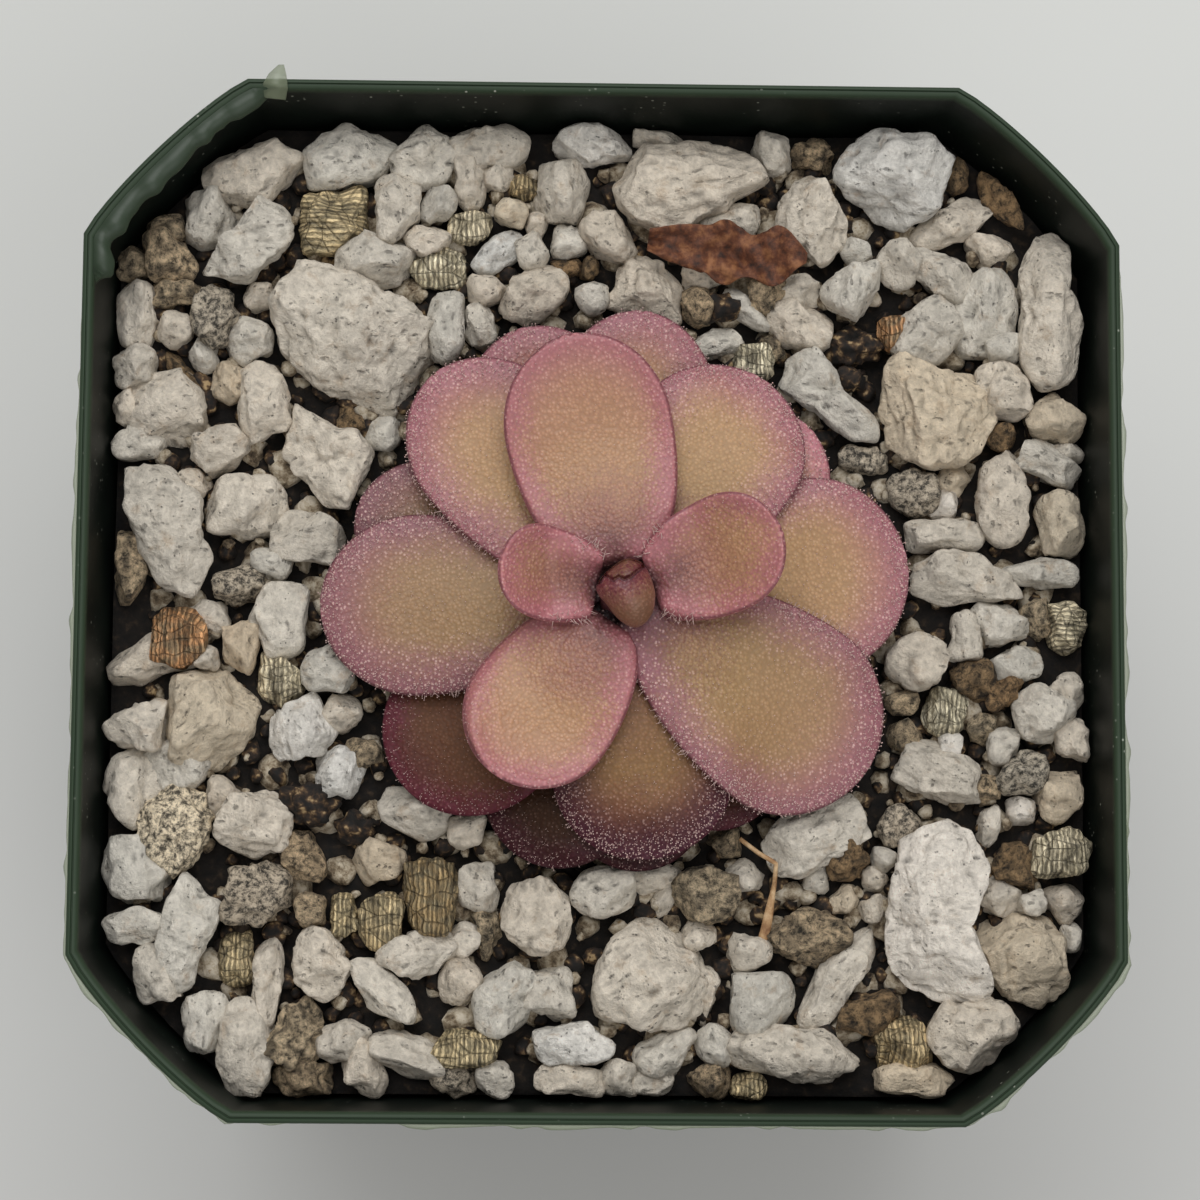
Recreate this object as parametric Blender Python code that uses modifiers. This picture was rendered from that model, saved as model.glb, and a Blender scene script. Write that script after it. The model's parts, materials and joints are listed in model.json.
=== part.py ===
"""A butterwort rosette growing in a square nursery pot that is filled with a gritty mix.

The origin is under the middle of the pot: the floor is z = 0, the rim is RIM_HEIGHT above it, +X is to the
right and +Y is away from the viewer. Lengths are written in millimetres and turned into metres by MM.
"""
import math
import random

import bmesh
import bpy
from mathutils import Matrix, Vector, noise
from mathutils.bvhtree import BVHTree

MM = 0.001

# The pot: a three inch square pot whose corners are cut off by slightly bulged chamfers
RIM_HEIGHT = 66.0
RIM_HALF_WIDTH = 38.1
BASE_HALF_WIDTH = 32.0
CORNER_LEG = 11.8
CORNER_PROFILE = 0.303
CORNER_SEGMENTS = 6
WALL = 0.9
FLOOR_THICKNESS = 1.4
DRAIN_RADIUS = 4.5
DRAIN_OFFSET = 19.0

# Clearance that touching pieces keep
GAP = 0.3

# The growing mix: a bed with grains fused into its top
MIX_TOP = 58.6
GRAIN_RADII = (3.3, 2.8, 2.2)
GRAIN_DARTS = (260, 700, 1600)
GRAIN_CLOSENESS = 0.86
GRAIN_HEIGHT_SHARE = (1.25, 1.6)
GRAIN_FREE_RADIUS = 11.0
GRAIN_OVERHANG_SHARE = 0.3
GRAIN_SINK = 0.15
GRAIN_SEED = 7

# The rosette stands a little right of the pot's middle
PLANT_X = 1.7
PLANT_Y = 0.0
STEM_RADIUS = 2.0
STEM_FOOT = 51.0
STEM_TOP = 66.2

# Blades
BLADE_THICKNESS = 0.85
MARGIN_SHARE = 0.8
BLADE_ROWS = 10
BLADE_COLUMNS = (-1.0, -0.55, 0.0, 0.55, 1.0)
BLADE_BASE_HALF_WIDTH = 1.3
DRAPE_RADIUS = 1.3
DRAPE_SAMPLES = 8
BLADE_LIFT_SHARE = 0.7
RESTING_HEIGHT = 60.4

# Each leaf, from the lowest to the uppermost:
# name, direction in degrees, reach from the stem's axis, width, widest place along the blade,
# fullness of its lower half, height of its foot, height of its tip, arch and cup
LEAVES = (
    ("leaf_19", 8.0, 20.8, 12.0, 0.66, 0.8, 59.4, 61.8, 0.3, -0.5),
    ("leaf_16", -85.5, 19.9, 11.4, 0.66, 0.8, 59.4, 61.8, 0.3, -0.5),
    ("leaf_15", 252.3, 20.4, 12.0, 0.66, 0.8, 59.4, 61.8, 0.3, -0.5),
    ("leaf_13", 160.3, 20.8, 11.4, 0.66, 0.8, 59.4, 61.8, 0.3, -0.5),
    ("leaf_18", 43.5, 19.0, 11.6, 0.66, 0.8, 59.4, 61.8, 0.3, -0.5),
    ("leaf_12", 110.0, 21.1, 12.4, 0.66, 0.8, 59.4, 61.8, 0.3, -0.5),
    ("leaf_17", -59.8, 18.7, 11.4, 0.66, 0.8, 59.4, 61.8, 0.3, -0.5),
    ("leaf_14", 220.5, 20.2, 13.2, 0.66, 0.8, 59.4, 61.8, 0.3, -0.5),
    ("leaf_11", 87.5, 20.7, 12.0, 0.66, 0.8, 59.4, 62.2, 0.3, -0.5),
    ("leaf_09", 7.6, 20.4, 14.4, 0.66, 0.8, 61.0, 62.4, 0.6, -0.7),
    ("leaf_10", -85.0, 18.2, 12.2, 0.66, 0.8, 61.0, 62.4, 0.6, -0.7),
    ("leaf_08", 57.2, 19.3, 12.6, 0.66, 0.8, 61.2, 63.0, 0.6, -0.7),
    ("leaf_05", -35.5, 21.0, 13.8, 0.66, 0.8, 61.2, 63.0, 0.6, -0.7),
    ("leaf_06", 182.0, 22.2, 13.4, 0.66, 0.8, 61.2, 63.0, 0.6, -0.7),
    ("leaf_07", 131.5, 21.2, 11.8, 0.66, 0.8, 61.2, 63.0, 0.6, -0.7),
    ("leaf_03", 101.0, 19.3, 12.4, 0.60, 0.5, 62.0, 67.0, 0.6, 0.4),
    ("leaf_04", 237.9, 16.3, 10.4, 0.60, 0.55, 62.0, 67.4, 0.6, 0.5),
    ("leaf_02", 21.0, 11.9, 8.6, 0.58, 0.6, 63.0, 69.8, 0.2, 1.4),
    ("leaf_01", 168.0, 9.3, 6.8, 0.58, 0.6, 63.4, 69.8, 0.2, 1.4),
)
INNER_LEAF_START = 2.8
OUTER_LEAF_START = 2.4
FIRST_INNER_HEIGHT = 61.9

# The bud of two folded young leaves
BUD_SIZE = (3.9, 4.9, 4.6)
BUD_CENTRE = (1.75, -0.2, 68.8)
BUD_LEAF_SIZE = (3.0, 2.8, 4.0)
BUD_LEAF_CENTRE = (1.1, 0.75, 68.6)

# Loose stones on the mix: name, x, y, length, width, direction in degrees, height of the top
STONES = (
    ("pumice_01", -18.6, 20.0, 13.0, 11.0, 0.0, 64.0),
    ("pumice_02", -26.9, 27.2, 9.0, 4.6, 50.0, 62.6),
    ("pumice_03", -20.6, 10.7, 7.6, 6.0, -20.0, 62.4),
    ("pumice_04", -31.8, 5.0, 9.8, 6.2, 90.0, 63.0),
    ("pumice_05", 5.8, 31.4, 12.6, 7.4, 5.0, 63.4),
    ("pumice_06", 15.0, 29.2, 8.0, 4.8, 90.0, 62.6),
    ("pumice_07", 22.1, 32.0, 8.8, 7.4, 0.0, 63.4),
    ("pumice_08", 33.0, 22.6, 12.8, 5.2, 92.0, 63.2),
    ("pumice_09", 25.4, 14.6, 8.6, 8.0, 0.0, 63.2),
    ("pumice_10", 17.0, 15.9, 9.6, 3.8, -42.0, 62.2),
    ("pumice_11", 3.4, 23.4, 6.4, 6.0, 90.0, 62.2),
    ("pumice_12", 28.0, 2.0, 8.2, 3.8, -12.0, 62.2),
    ("pumice_13", -29.0, -8.6, 7.6, 7.2, 45.0, 63.2),
    ("pumice_14", -21.8, -9.6, 6.0, 4.6, 90.0, 62.0),
    ("pumice_15", -24.6, -16.6, 5.8, 5.4, 0.0, 62.8),
    ("pumice_16", -31.4, -17.4, 7.0, 4.8, 90.0, 62.4),
    ("pumice_17", -29.9, -25.9, 8.6, 4.6, 92.0, 62.4),
    ("pumice_18", -22.0, -32.0, 7.0, 4.4, 60.0, 62.0),
    ("pumice_19", -19.8, -25.0, 5.6, 4.5, 80.0, 62.2),
    ("pumice_20", -4.3, -23.0, 5.8, 5.4, 90.0, 62.2),
    ("pumice_21", 3.8, -27.8, 8.8, 8.4, 30.0, 63.2),
    ("pumice_22", 24.6, -22.4, 12.8, 6.6, 90.0, 63.6),
    ("pumice_23", 32.0, -23.8, 7.0, 6.2, 90.0, 62.8),
    ("pumice_24", 27.2, -31.2, 6.4, 5.2, 20.0, 62.8),
    ("pumice_25", 14.8, -33.2, 10.0, 3.9, -12.0, 62.2),
    ("pumice_26", 16.2, -16.6, 8.4, 4.8, 25.0, 62.2),
    ("pumice_27", 24.8, -12.0, 8.2, 4.0, -18.0, 62.0),
    ("vermiculite_01", -12.0, -21.4, 6.4, 4.6, 90.0, 62.0),
)
STONE_ROUGHNESS = 0.16
STONE_FACETS = 5
STONE_FACET_DEPTH = (0.80, 0.92)
STONE_DEPTH_SHARE = 0.62
SEAT_GROWTH = 2.4 * GAP

# The dead leaf and the dry stalk that lie on the mix
DEAD_LEAF = ("dead_leaf", (4.6, 27.0), (15.2, 25.4), 3.6)
DEAD_LEAF_WAVE = 0.8
DEAD_LEAF_BENDS = 7.0
STALK_ROUTE = ((10.4, -17.4), (13.0, -19.2), (12.7, -22.0), (11.9, -25.6))
STALK_RADIUS = 0.4
STALK_POINT_SPACING = 0.9
STALK_DRAPE_RADIUS = 0.8

# Colours from the plant, as linear red, green and blue
POT_GREEN = (0.050, 0.100, 0.060)
MIX_BROWN = (0.180, 0.140, 0.095)
STEM_ROSE = (0.230, 0.085, 0.085)
BUD_ROSE = (0.360, 0.170, 0.140)
INNER_ROSE = (0.420, 0.200, 0.160)
OUTER_ROSE = (0.400, 0.220, 0.150)
BACK_PURPLE = (0.120, 0.035, 0.055)
PUMICE_GREY = (0.560, 0.530, 0.480)
VERMICULITE_BROWN = (0.270, 0.160, 0.080)
LITTER_BROWN = (0.170, 0.080, 0.035)


def clear_scene():
    """Take every object out of the scene."""
    for item in list(bpy.data.objects):
        bpy.data.objects.remove(item, do_unlink=True)


def new_collection(name):
    """Add a collection to the scene."""
    collection = bpy.data.collections.new(name)
    bpy.context.scene.collection.children.link(collection)
    return collection


def principled(name, colour, roughness):
    """Make a plain material that is not metal."""
    material = bpy.data.materials.new(name)
    material.use_nodes = True
    shader = material.node_tree.nodes["Principled BSDF"]
    shader.inputs["Base Color"].default_value = (*colour, 1.0)
    shader.inputs["Roughness"].default_value = roughness
    shader.inputs["Metallic"].default_value = 0.0
    material.diffuse_color = (*colour, 1.0)
    material.roughness = roughness
    return material


def object_from_bmesh(name, bm, collection, colour=None, roughness=0.6):
    """Turn a bmesh into a named object with a material of its own."""
    mesh = bpy.data.meshes.new(name)
    bm.to_mesh(mesh)
    bm.free()
    item = bpy.data.objects.new(name, mesh)
    collection.objects.link(item)
    if colour is not None:
        mesh.materials.append(principled(name + "_finish", colour, roughness))
    return item


def as_cutter(item):
    """Mark an object as a tool that only shapes other objects."""
    item.hide_render = True
    item.display_type = "WIRE"


def evaluated_mesh(item):
    """Return a copy of an object's mesh with its modifiers applied."""
    depsgraph = bpy.context.evaluated_depsgraph_get()
    return bpy.data.meshes.new_from_object(item.evaluated_get(depsgraph))


def boolean_collection(item, collection, operation):
    """Join or cut an object with everything in a collection, then remove that collection's objects."""
    modifier = item.modifiers.new(operation.lower(), "BOOLEAN")
    modifier.operation = operation
    modifier.operand_type = "COLLECTION"
    modifier.collection = collection
    modifier.solver = "EXACT"
    mesh = evaluated_mesh(item)
    item.modifiers.clear()
    old_mesh = item.data
    item.data = mesh
    bpy.data.meshes.remove(old_mesh)
    for tool in list(collection.objects):
        bpy.data.objects.remove(tool, do_unlink=True)


def keep_largest_body(item):
    """Drop the loose scraps that a cut can leave beside the main body."""
    bm = bmesh.new()
    bm.from_mesh(item.data)
    unseen = set(bm.verts)
    bodies = []
    while unseen:
        stack = [unseen.pop()]
        body = []
        while stack:
            vertex = stack.pop()
            body.append(vertex)
            for edge in vertex.link_edges:
                other = edge.other_vert(vertex)
                if other in unseen:
                    unseen.remove(other)
                    stack.append(other)
        bodies.append(body)
    bodies.sort(key=len)
    for body in bodies[:-1]:
        bmesh.ops.delete(bm, geom=body, context="VERTS")
    bm.to_mesh(item.data)
    bm.free()


def pot_half_width(height):
    """Half the pot's outer width at a height."""
    share = height / RIM_HEIGHT
    return BASE_HALF_WIDTH + (RIM_HALF_WIDTH - BASE_HALF_WIDTH) * share


def tapered_block(bottom, top, inset):
    """A block between two heights that follows the pot's outer form, a given distance inside it."""
    half_top = (pot_half_width(top) - inset) * MM
    half_bottom = (pot_half_width(bottom) - inset) * MM
    leg_shift = inset * (2.0 - math.sqrt(2.0))
    leg = (CORNER_LEG * pot_half_width(top) / RIM_HALF_WIDTH - leg_shift) * MM
    bm = bmesh.new()
    bmesh.ops.create_cube(bm, size=1.0)
    bmesh.ops.scale(bm, vec=(2.0 * half_top, 2.0 * half_top, (top - bottom) * MM), verts=bm.verts)
    bmesh.ops.translate(bm, vec=(0.0, 0.0, 0.5 * (top + bottom) * MM), verts=bm.verts)
    upright = [e for e in bm.edges if abs(e.verts[0].co.z - e.verts[1].co.z) > 0.5 * (top - bottom) * MM]
    bmesh.ops.bevel(
        bm,
        geom=upright,
        offset=leg,
        offset_type="OFFSET",
        segments=CORNER_SEGMENTS,
        profile=CORNER_PROFILE,
        affect="EDGES",
    )
    low = [v for v in bm.verts if v.co.z < 0.5 * (top + bottom) * MM]
    bmesh.ops.scale(bm, vec=(half_bottom / half_top, half_bottom / half_top, 1.0), verts=low)
    return bm


def upright_cylinder(name, x, y, bottom, top, radius, collection, segments=24):
    """A standing cylinder."""
    bm = bmesh.new()
    bmesh.ops.create_cone(
        bm,
        cap_ends=True,
        segments=segments,
        radius1=radius * MM,
        radius2=radius * MM,
        depth=(top - bottom) * MM,
        matrix=Matrix.Translation((x * MM, y * MM, 0.5 * (top + bottom) * MM)),
    )
    return object_from_bmesh(name, bm, collection)


def make_pot(parts, tools):
    """The thin walled pot with four drain holes in its flat base."""
    pot = object_from_bmesh("pot", tapered_block(0.0, RIM_HEIGHT, 0.0), parts, POT_GREEN, 0.45)
    above_rim = RIM_HEIGHT + 2.0
    cavity = object_from_bmesh("pot_cavity", tapered_block(FLOOR_THICKNESS, above_rim, WALL), tools)
    as_cutter(cavity)
    for index, (side_x, side_y) in enumerate(((1, 1), (-1, 1), (-1, -1), (1, -1))):
        drain = upright_cylinder(
            f"drain_{index + 1}",
            side_x * DRAIN_OFFSET,
            side_y * DRAIN_OFFSET,
            -2.0,
            FLOOR_THICKNESS + 2.0,
            DRAIN_RADIUS,
            tools,
        )
        as_cutter(drain)
    boolean_collection(pot, tools, "DIFFERENCE")
    return pot


def rough_body(length, width, height, seed, subdivisions, facets):
    """An angular pebble: a sphere of triangles, roughened and then flattened by a few chance planes."""
    draw = random.Random(seed)
    bm = bmesh.new()
    bmesh.ops.create_icosphere(bm, subdivisions=subdivisions, radius=1.0)
    offset = Vector((draw.uniform(-50, 50), draw.uniform(-50, 50), draw.uniform(-50, 50)))
    planes = []
    for _ in range(facets):
        direction = Vector((draw.gauss(0, 1), draw.gauss(0, 1), draw.gauss(0, 1))).normalized()
        planes.append((direction, draw.uniform(*STONE_FACET_DEPTH)))
    for vertex in bm.verts:
        swell = 1.0 + STONE_ROUGHNESS * noise.noise(vertex.co * 1.1 + offset)
        point = vertex.co * swell
        for direction, depth in planes:
            excess = point.dot(direction) - depth
            if excess > 0.0:
                point -= direction * excess
        vertex.co = point
    for axis, size in enumerate((length, width, height)):
        low = min(v.co[axis] for v in bm.verts)
        high = max(v.co[axis] for v in bm.verts)
        for vertex in bm.verts:
            vertex.co[axis] = ((vertex.co[axis] - low) / (high - low) - 0.5) * size * MM
    return bm


def place(bm, x, y, z, turn):
    """Turn a body about the upright axis and move it to its place."""
    matrix = Matrix.Translation((x * MM, y * MM, z * MM)) @ Matrix.Rotation(math.radians(turn), 4, "Z")
    bmesh.ops.transform(bm, matrix=matrix, verts=bm.verts)


def make_stones(parts, tools):
    """The loose stones, and for each one the tool that cuts its seat in the mix."""
    for index, (name, x, y, length, width, turn, top) in enumerate(STONES):
        height = 0.5 * (top - MIX_TOP) + STONE_DEPTH_SHARE * width
        centre = top - 0.5 * height
        colour = VERMICULITE_BROWN if name.startswith("vermiculite") else PUMICE_GREY
        body = rough_body(length, width, height, 100 + index, 2, STONE_FACETS)
        place(body, x, y, centre, turn)
        object_from_bmesh(name, body, parts, colour, 0.9)
        seat_size = (length + SEAT_GROWTH, width + SEAT_GROWTH, height + SEAT_GROWTH)
        seat = rough_body(*seat_size, 100 + index, 2, STONE_FACETS)
        place(seat, x, y, centre, turn)
        as_cutter(object_from_bmesh(name + "_seat", seat, tools))


def stone_distance(x, y):
    """The distance from a point to the edge of the nearest loose stone, taken as an ellipse."""
    nearest = 100.0
    for _, stone_x, stone_y, length, width, turn, _ in STONES:
        angle = math.radians(turn)
        along = (x - stone_x) * math.cos(angle) + (y - stone_y) * math.sin(angle)
        across = (y - stone_y) * math.cos(angle) - (x - stone_x) * math.sin(angle)
        share = math.hypot(along / (0.5 * length), across / (0.5 * width))
        reach = math.hypot(along, across)
        nearest = min(nearest, reach - reach / max(share, 0.001))
    return nearest


def inside_pot(x, y, margin):
    """Whether a point on the mix lies inside the pot's wall by a margin."""
    half = pot_half_width(MIX_TOP) - WALL - margin
    corner = 2.0 * pot_half_width(MIX_TOP) - CORNER_LEG - (WALL + margin) * math.sqrt(2.0)
    return max(abs(x), abs(y)) < half and abs(x) + abs(y) < corner


def grain_places():
    """Grains thrown on the mix one by one, large ones first, where they find room; yields x, y, radius."""
    draw = random.Random(GRAIN_SEED)
    placed = []
    for radius, darts in zip(GRAIN_RADII, GRAIN_DARTS):
        for _ in range(darts):
            x = draw.uniform(-RIM_HALF_WIDTH, RIM_HALF_WIDTH)
            y = draw.uniform(-RIM_HALF_WIDTH, RIM_HALF_WIDTH)
            under_rosette = math.hypot(x - PLANT_X, y - PLANT_Y) < GRAIN_FREE_RADIUS
            if under_rosette or not inside_pot(x, y, radius + GAP) or stone_distance(x, y) < GRAIN_OVERHANG_SHARE * radius:
                continue
            if all(math.hypot(x - a, y - b) > GRAIN_CLOSENESS * (radius + r) for a, b, r in placed):
                placed.append((x, y, radius))
    return placed


def make_growing_mix(parts, tools):
    """The bed that fills the pot: grains are fused into its top, stones and stem have plain seats in it."""
    block = tapered_block(FLOOR_THICKNESS + GAP, MIX_TOP, WALL + GAP + 0.05)
    mix = object_from_bmesh("growing_mix", block, parts, MIX_BROWN, 0.95)
    grains = new_collection("grains")
    draw = random.Random(GRAIN_SEED + 1)
    for index, (x, y, radius) in enumerate(grain_places()):
        length = 2.0 * radius
        width = length * draw.uniform(0.8, 0.95)
        height = radius * draw.uniform(*GRAIN_HEIGHT_SHARE)
        grain = rough_body(length, width, height, 1000 + index, 1, 0)
        place(grain, x, y, MIX_TOP - GRAIN_SINK, draw.uniform(0.0, 360.0))
        object_from_bmesh(f"grain_{index}", grain, grains)
    boolean_collection(mix, grains, "UNION")
    bpy.data.collections.remove(grains)
    hole = upright_cylinder(
        "stem_hole", PLANT_X, PLANT_Y, STEM_FOOT - GAP, RIM_HEIGHT, STEM_RADIUS + GAP, tools, segments=16
    )
    as_cutter(hole)
    boolean_collection(mix, tools, "DIFFERENCE")
    keep_largest_body(mix)
    return mix


def make_crown(parts):
    """The short stem that carries every leaf and stands in the mix."""
    crown = upright_cylinder("crown", PLANT_X, PLANT_Y, STEM_FOOT, STEM_TOP, STEM_RADIUS, parts, segments=16)
    crown.data.materials.append(principled("crown_finish", STEM_ROSE, 0.6))
    return crown


def tree_of(item):
    """A search tree of an object's evaluated surface, in world space."""
    mesh = evaluated_mesh(item)
    points = [item.matrix_world @ v.co for v in mesh.vertices]
    faces = [tuple(p.vertices) for p in mesh.polygons]
    bpy.data.meshes.remove(mesh)
    return BVHTree.FromPolygons(points, faces)


def surface_height(trees, x, y, radius):
    """The highest surface under a small disc, in millimetres."""
    highest = 0.0
    spots = [(x, y)]
    for share in (0.5, 1.0):
        for index in range(DRAPE_SAMPLES):
            angle = 2.0 * math.pi * index / DRAPE_SAMPLES
            spots.append((x + share * radius * math.cos(angle), y + share * radius * math.sin(angle)))
    for spot_x, spot_y in spots:
        start = Vector((spot_x * MM, spot_y * MM, 0.2))
        for tree in trees:
            hit = tree.ray_cast(start, Vector((0.0, 0.0, -1.0)))
            if hit[0] is not None:
                highest = max(highest, hit[0].z / MM)
    return highest


def blade_half_width(u, widest, fullness, half_width):
    """Half the blade's width at a share u of its length: a widening foot and a round end."""
    if u < widest:
        growth = math.sin(0.5 * math.pi * (u / widest)) ** fullness
        return BLADE_BASE_HALF_WIDTH + (half_width - BLADE_BASE_HALF_WIDTH) * growth
    return half_width * math.sqrt(max(0.0, 1.0 - ((u - widest) / (1.0 - widest)) ** 2))


def draped_blade(name, start, end, form, height_at, trees, parts, colour, roughness):
    """A blade from start to end that keeps clear above everything in trees."""
    width, widest, fullness, cup = form
    along = Vector((end[0] - start[0], end[1] - start[1]))
    across = Vector((-along.y, along.x)).normalized()
    clearance = GAP + BLADE_LIFT_SHARE * BLADE_THICKNESS
    bm = bmesh.new()
    weights = bm.verts.layers.deform.verify()
    rows = []
    for row in range(BLADE_ROWS):
        u = 1.0 - (1.0 - row / BLADE_ROWS) ** 1.5
        half = blade_half_width(u, widest, fullness, 0.5 * width)
        line = []
        for v in BLADE_COLUMNS:
            x = start[0] + along.x * u + across.x * half * v
            y = start[1] + along.y * u + across.y * half * v
            wanted = height_at(u) + cup * v * v * (half / (0.5 * width))
            z = max(wanted, surface_height(trees, x, y, DRAPE_RADIUS) + clearance)
            vertex = bm.verts.new((x * MM, y * MM, z * MM))
            vertex[weights][0] = MARGIN_SHARE if abs(v) == 1.0 else 1.0
            line.append(vertex)
        rows.append(line)
    tip_height = max(height_at(1.0), surface_height(trees, end[0], end[1], DRAPE_RADIUS) + clearance)
    tip = bm.verts.new((end[0] * MM, end[1] * MM, tip_height * MM))
    tip[weights][0] = MARGIN_SHARE
    for lower, upper in zip(rows, rows[1:]):
        for left, right, far_right, far_left in zip(lower, lower[1:], upper[1:], upper):
            bm.faces.new((left, right, far_right, far_left))
    for left, right in zip(rows[-1], rows[-1][1:]):
        bm.faces.new((left, right, tip))
    ease_heights(bm)
    bmesh.ops.recalc_face_normals(bm, faces=bm.faces)
    if sum(face.normal.z for face in bm.faces) < 0.0:
        bmesh.ops.reverse_faces(bm, faces=bm.faces)
    bmesh.ops.triangulate(bm, faces=bm.faces)
    blade = object_from_bmesh(name, bm, parts, colour, roughness)
    blade.vertex_groups.new(name="thick")
    solidify = blade.modifiers.new("thickness", "SOLIDIFY")
    solidify.thickness = BLADE_THICKNESS * MM
    solidify.offset = 0.0
    solidify.use_even_offset = True
    solidify.vertex_group = "thick"
    return blade


def ease_heights(bm):
    """Lift the low spots of a draped sheet to the mean of their neighbours, so that it bends gently."""
    for _ in range(2):
        lifted = {}
        for vertex in bm.verts:
            heights = [e.other_vert(vertex).co.z for e in vertex.link_edges]
            lifted[vertex] = max(vertex.co.z, sum(heights) / len(heights))
        for vertex, height in lifted.items():
            vertex.co.z = height


def leaf_colour(name):
    """Back leaves are purple, outer leaves tan and inner leaves rose."""
    number = int(name.split("_")[1])
    if number >= 11:
        return BACK_PURPLE
    if number >= 5:
        return OUTER_ROSE
    return INNER_ROSE


def make_leaves(parts, ground):
    """The rosette, laid from the lowest leaf to the uppermost one."""
    trees = [tree_of(item) for item in ground]
    for name, turn, reach, width, widest, fullness, foot, tip, arch, cup in LEAVES:
        angle = math.radians(turn)
        direction = Vector((math.cos(angle), math.sin(angle)))
        first = INNER_LEAF_START if foot > FIRST_INNER_HEIGHT else OUTER_LEAF_START
        start = (PLANT_X + first * direction.x, PLANT_Y + first * direction.y)
        end = (PLANT_X + reach * direction.x, PLANT_Y + reach * direction.y)

        def height_at(u, foot=foot, tip=tip, arch=arch):
            return foot + (tip - foot) * u + 4.0 * arch * u * (1.0 - u)

        form = (width, widest, fullness, cup)
        leaf = draped_blade(name, start, end, form, height_at, trees, parts, leaf_colour(name), 0.5)
        trees.append(tree_of(leaf))


def make_bud(parts, tools):
    """Two young leaves, folded against each other over the stem."""
    bodies = ((BUD_SIZE, BUD_CENTRE), (BUD_LEAF_SIZE, BUD_LEAF_CENTRE))
    for index, (size, centre) in enumerate(bodies):
        bm = bmesh.new()
        bmesh.ops.create_uvsphere(bm, u_segments=14, v_segments=9, radius=0.5 * MM)
        bmesh.ops.scale(bm, vec=size, verts=bm.verts)
        bmesh.ops.translate(bm, vec=Vector(centre) * MM, verts=bm.verts)
        if index == 0:
            bud = object_from_bmesh("bud", bm, parts, BUD_ROSE, 0.5)
        else:
            object_from_bmesh("young_leaf", bm, tools)
    boolean_collection(bud, tools, "UNION")
    return bud


def make_dead_leaf(parts, ground):
    """The shrivelled leaf that lies over the mix between two stones."""
    name, start, end, width = DEAD_LEAF
    trees = [tree_of(item) for item in ground]

    def height_at(u):
        return RESTING_HEIGHT + DEAD_LEAF_WAVE * math.sin(DEAD_LEAF_BENDS * u)

    form = (width, 0.5, 0.7, 0.5)
    return draped_blade(name, start, end, form, height_at, trees, parts, LITTER_BROWN, 0.8)


def smooth_route(points):
    """Evenly spaced points on a smooth curve through the given ones."""
    ends = [points[0], *points, points[-1]]
    route = []
    for before, first, last, after in zip(ends, ends[1:], ends[2:], ends[3:]):
        p0, p1, p2, p3 = (Vector(p) for p in (before, first, last, after))
        steps = max(2, round((p2 - p1).length / STALK_POINT_SPACING))
        for step in range(steps):
            t = step / steps
            route.append(
                0.5 * (2.0 * p1 + (p2 - p0) * t + (2.0 * p0 - 5.0 * p1 + 4.0 * p2 - p3) * t * t
                       + (3.0 * p1 - p0 - 3.0 * p2 + p3) * t ** 3)
            )
    route.append(Vector(points[-1]))
    return route


def make_dry_stalk(parts, ground):
    """The dry stalk: a thin tube that lies over the mix."""
    trees = [tree_of(item) for item in ground]
    route = smooth_route(STALK_ROUTE)
    heights = [surface_height(trees, p.x, p.y, STALK_DRAPE_RADIUS) + STALK_RADIUS + GAP for p in route]
    for _ in range(3):
        padded = [heights[0], *heights, heights[-1]]
        heights = [max(b, 0.5 * (a + c)) for a, b, c in zip(padded, padded[1:], padded[2:])]
    curve = bpy.data.curves.new("dry_stalk", "CURVE")
    curve.dimensions = "3D"
    curve.bevel_depth = STALK_RADIUS * MM
    curve.bevel_resolution = 1
    curve.use_fill_caps = True
    spline = curve.splines.new("POLY")
    spline.points.add(len(route) - 1)
    for spot, point, height in zip(spline.points, route, heights):
        spot.co = (point.x * MM, point.y * MM, height * MM, 1.0)
    curve.materials.append(principled("dry_stalk_finish", LITTER_BROWN, 0.8))
    stalk = bpy.data.objects.new("dry_stalk", curve)
    parts.objects.link(stalk)
    return stalk


def build():
    """Make every piece of the potted plant."""
    clear_scene()
    parts = new_collection("potted butterwort")
    tools = new_collection("cutters")
    make_pot(parts, tools)
    make_stones(parts, tools)
    mix = make_growing_mix(parts, tools)
    crown = make_crown(parts)
    stones = [item for item in parts.objects if item.name.startswith(("pumice", "vermiculite"))]
    bpy.context.view_layer.update()
    make_leaves(parts, [mix, *stones])
    make_bud(parts, tools)
    leaves = [item for item in parts.objects if item.name.startswith("leaf")]
    make_dead_leaf(parts, [mix, *stones, *leaves])
    make_dry_stalk(parts, [mix, *stones, *leaves, crown])


build()
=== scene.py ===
import itertools
import json
import math
from functools import lru_cache, partial

import bmesh
import bpy
import numpy as np
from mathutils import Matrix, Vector
from mathutils.bvhtree import BVHTree

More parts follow.
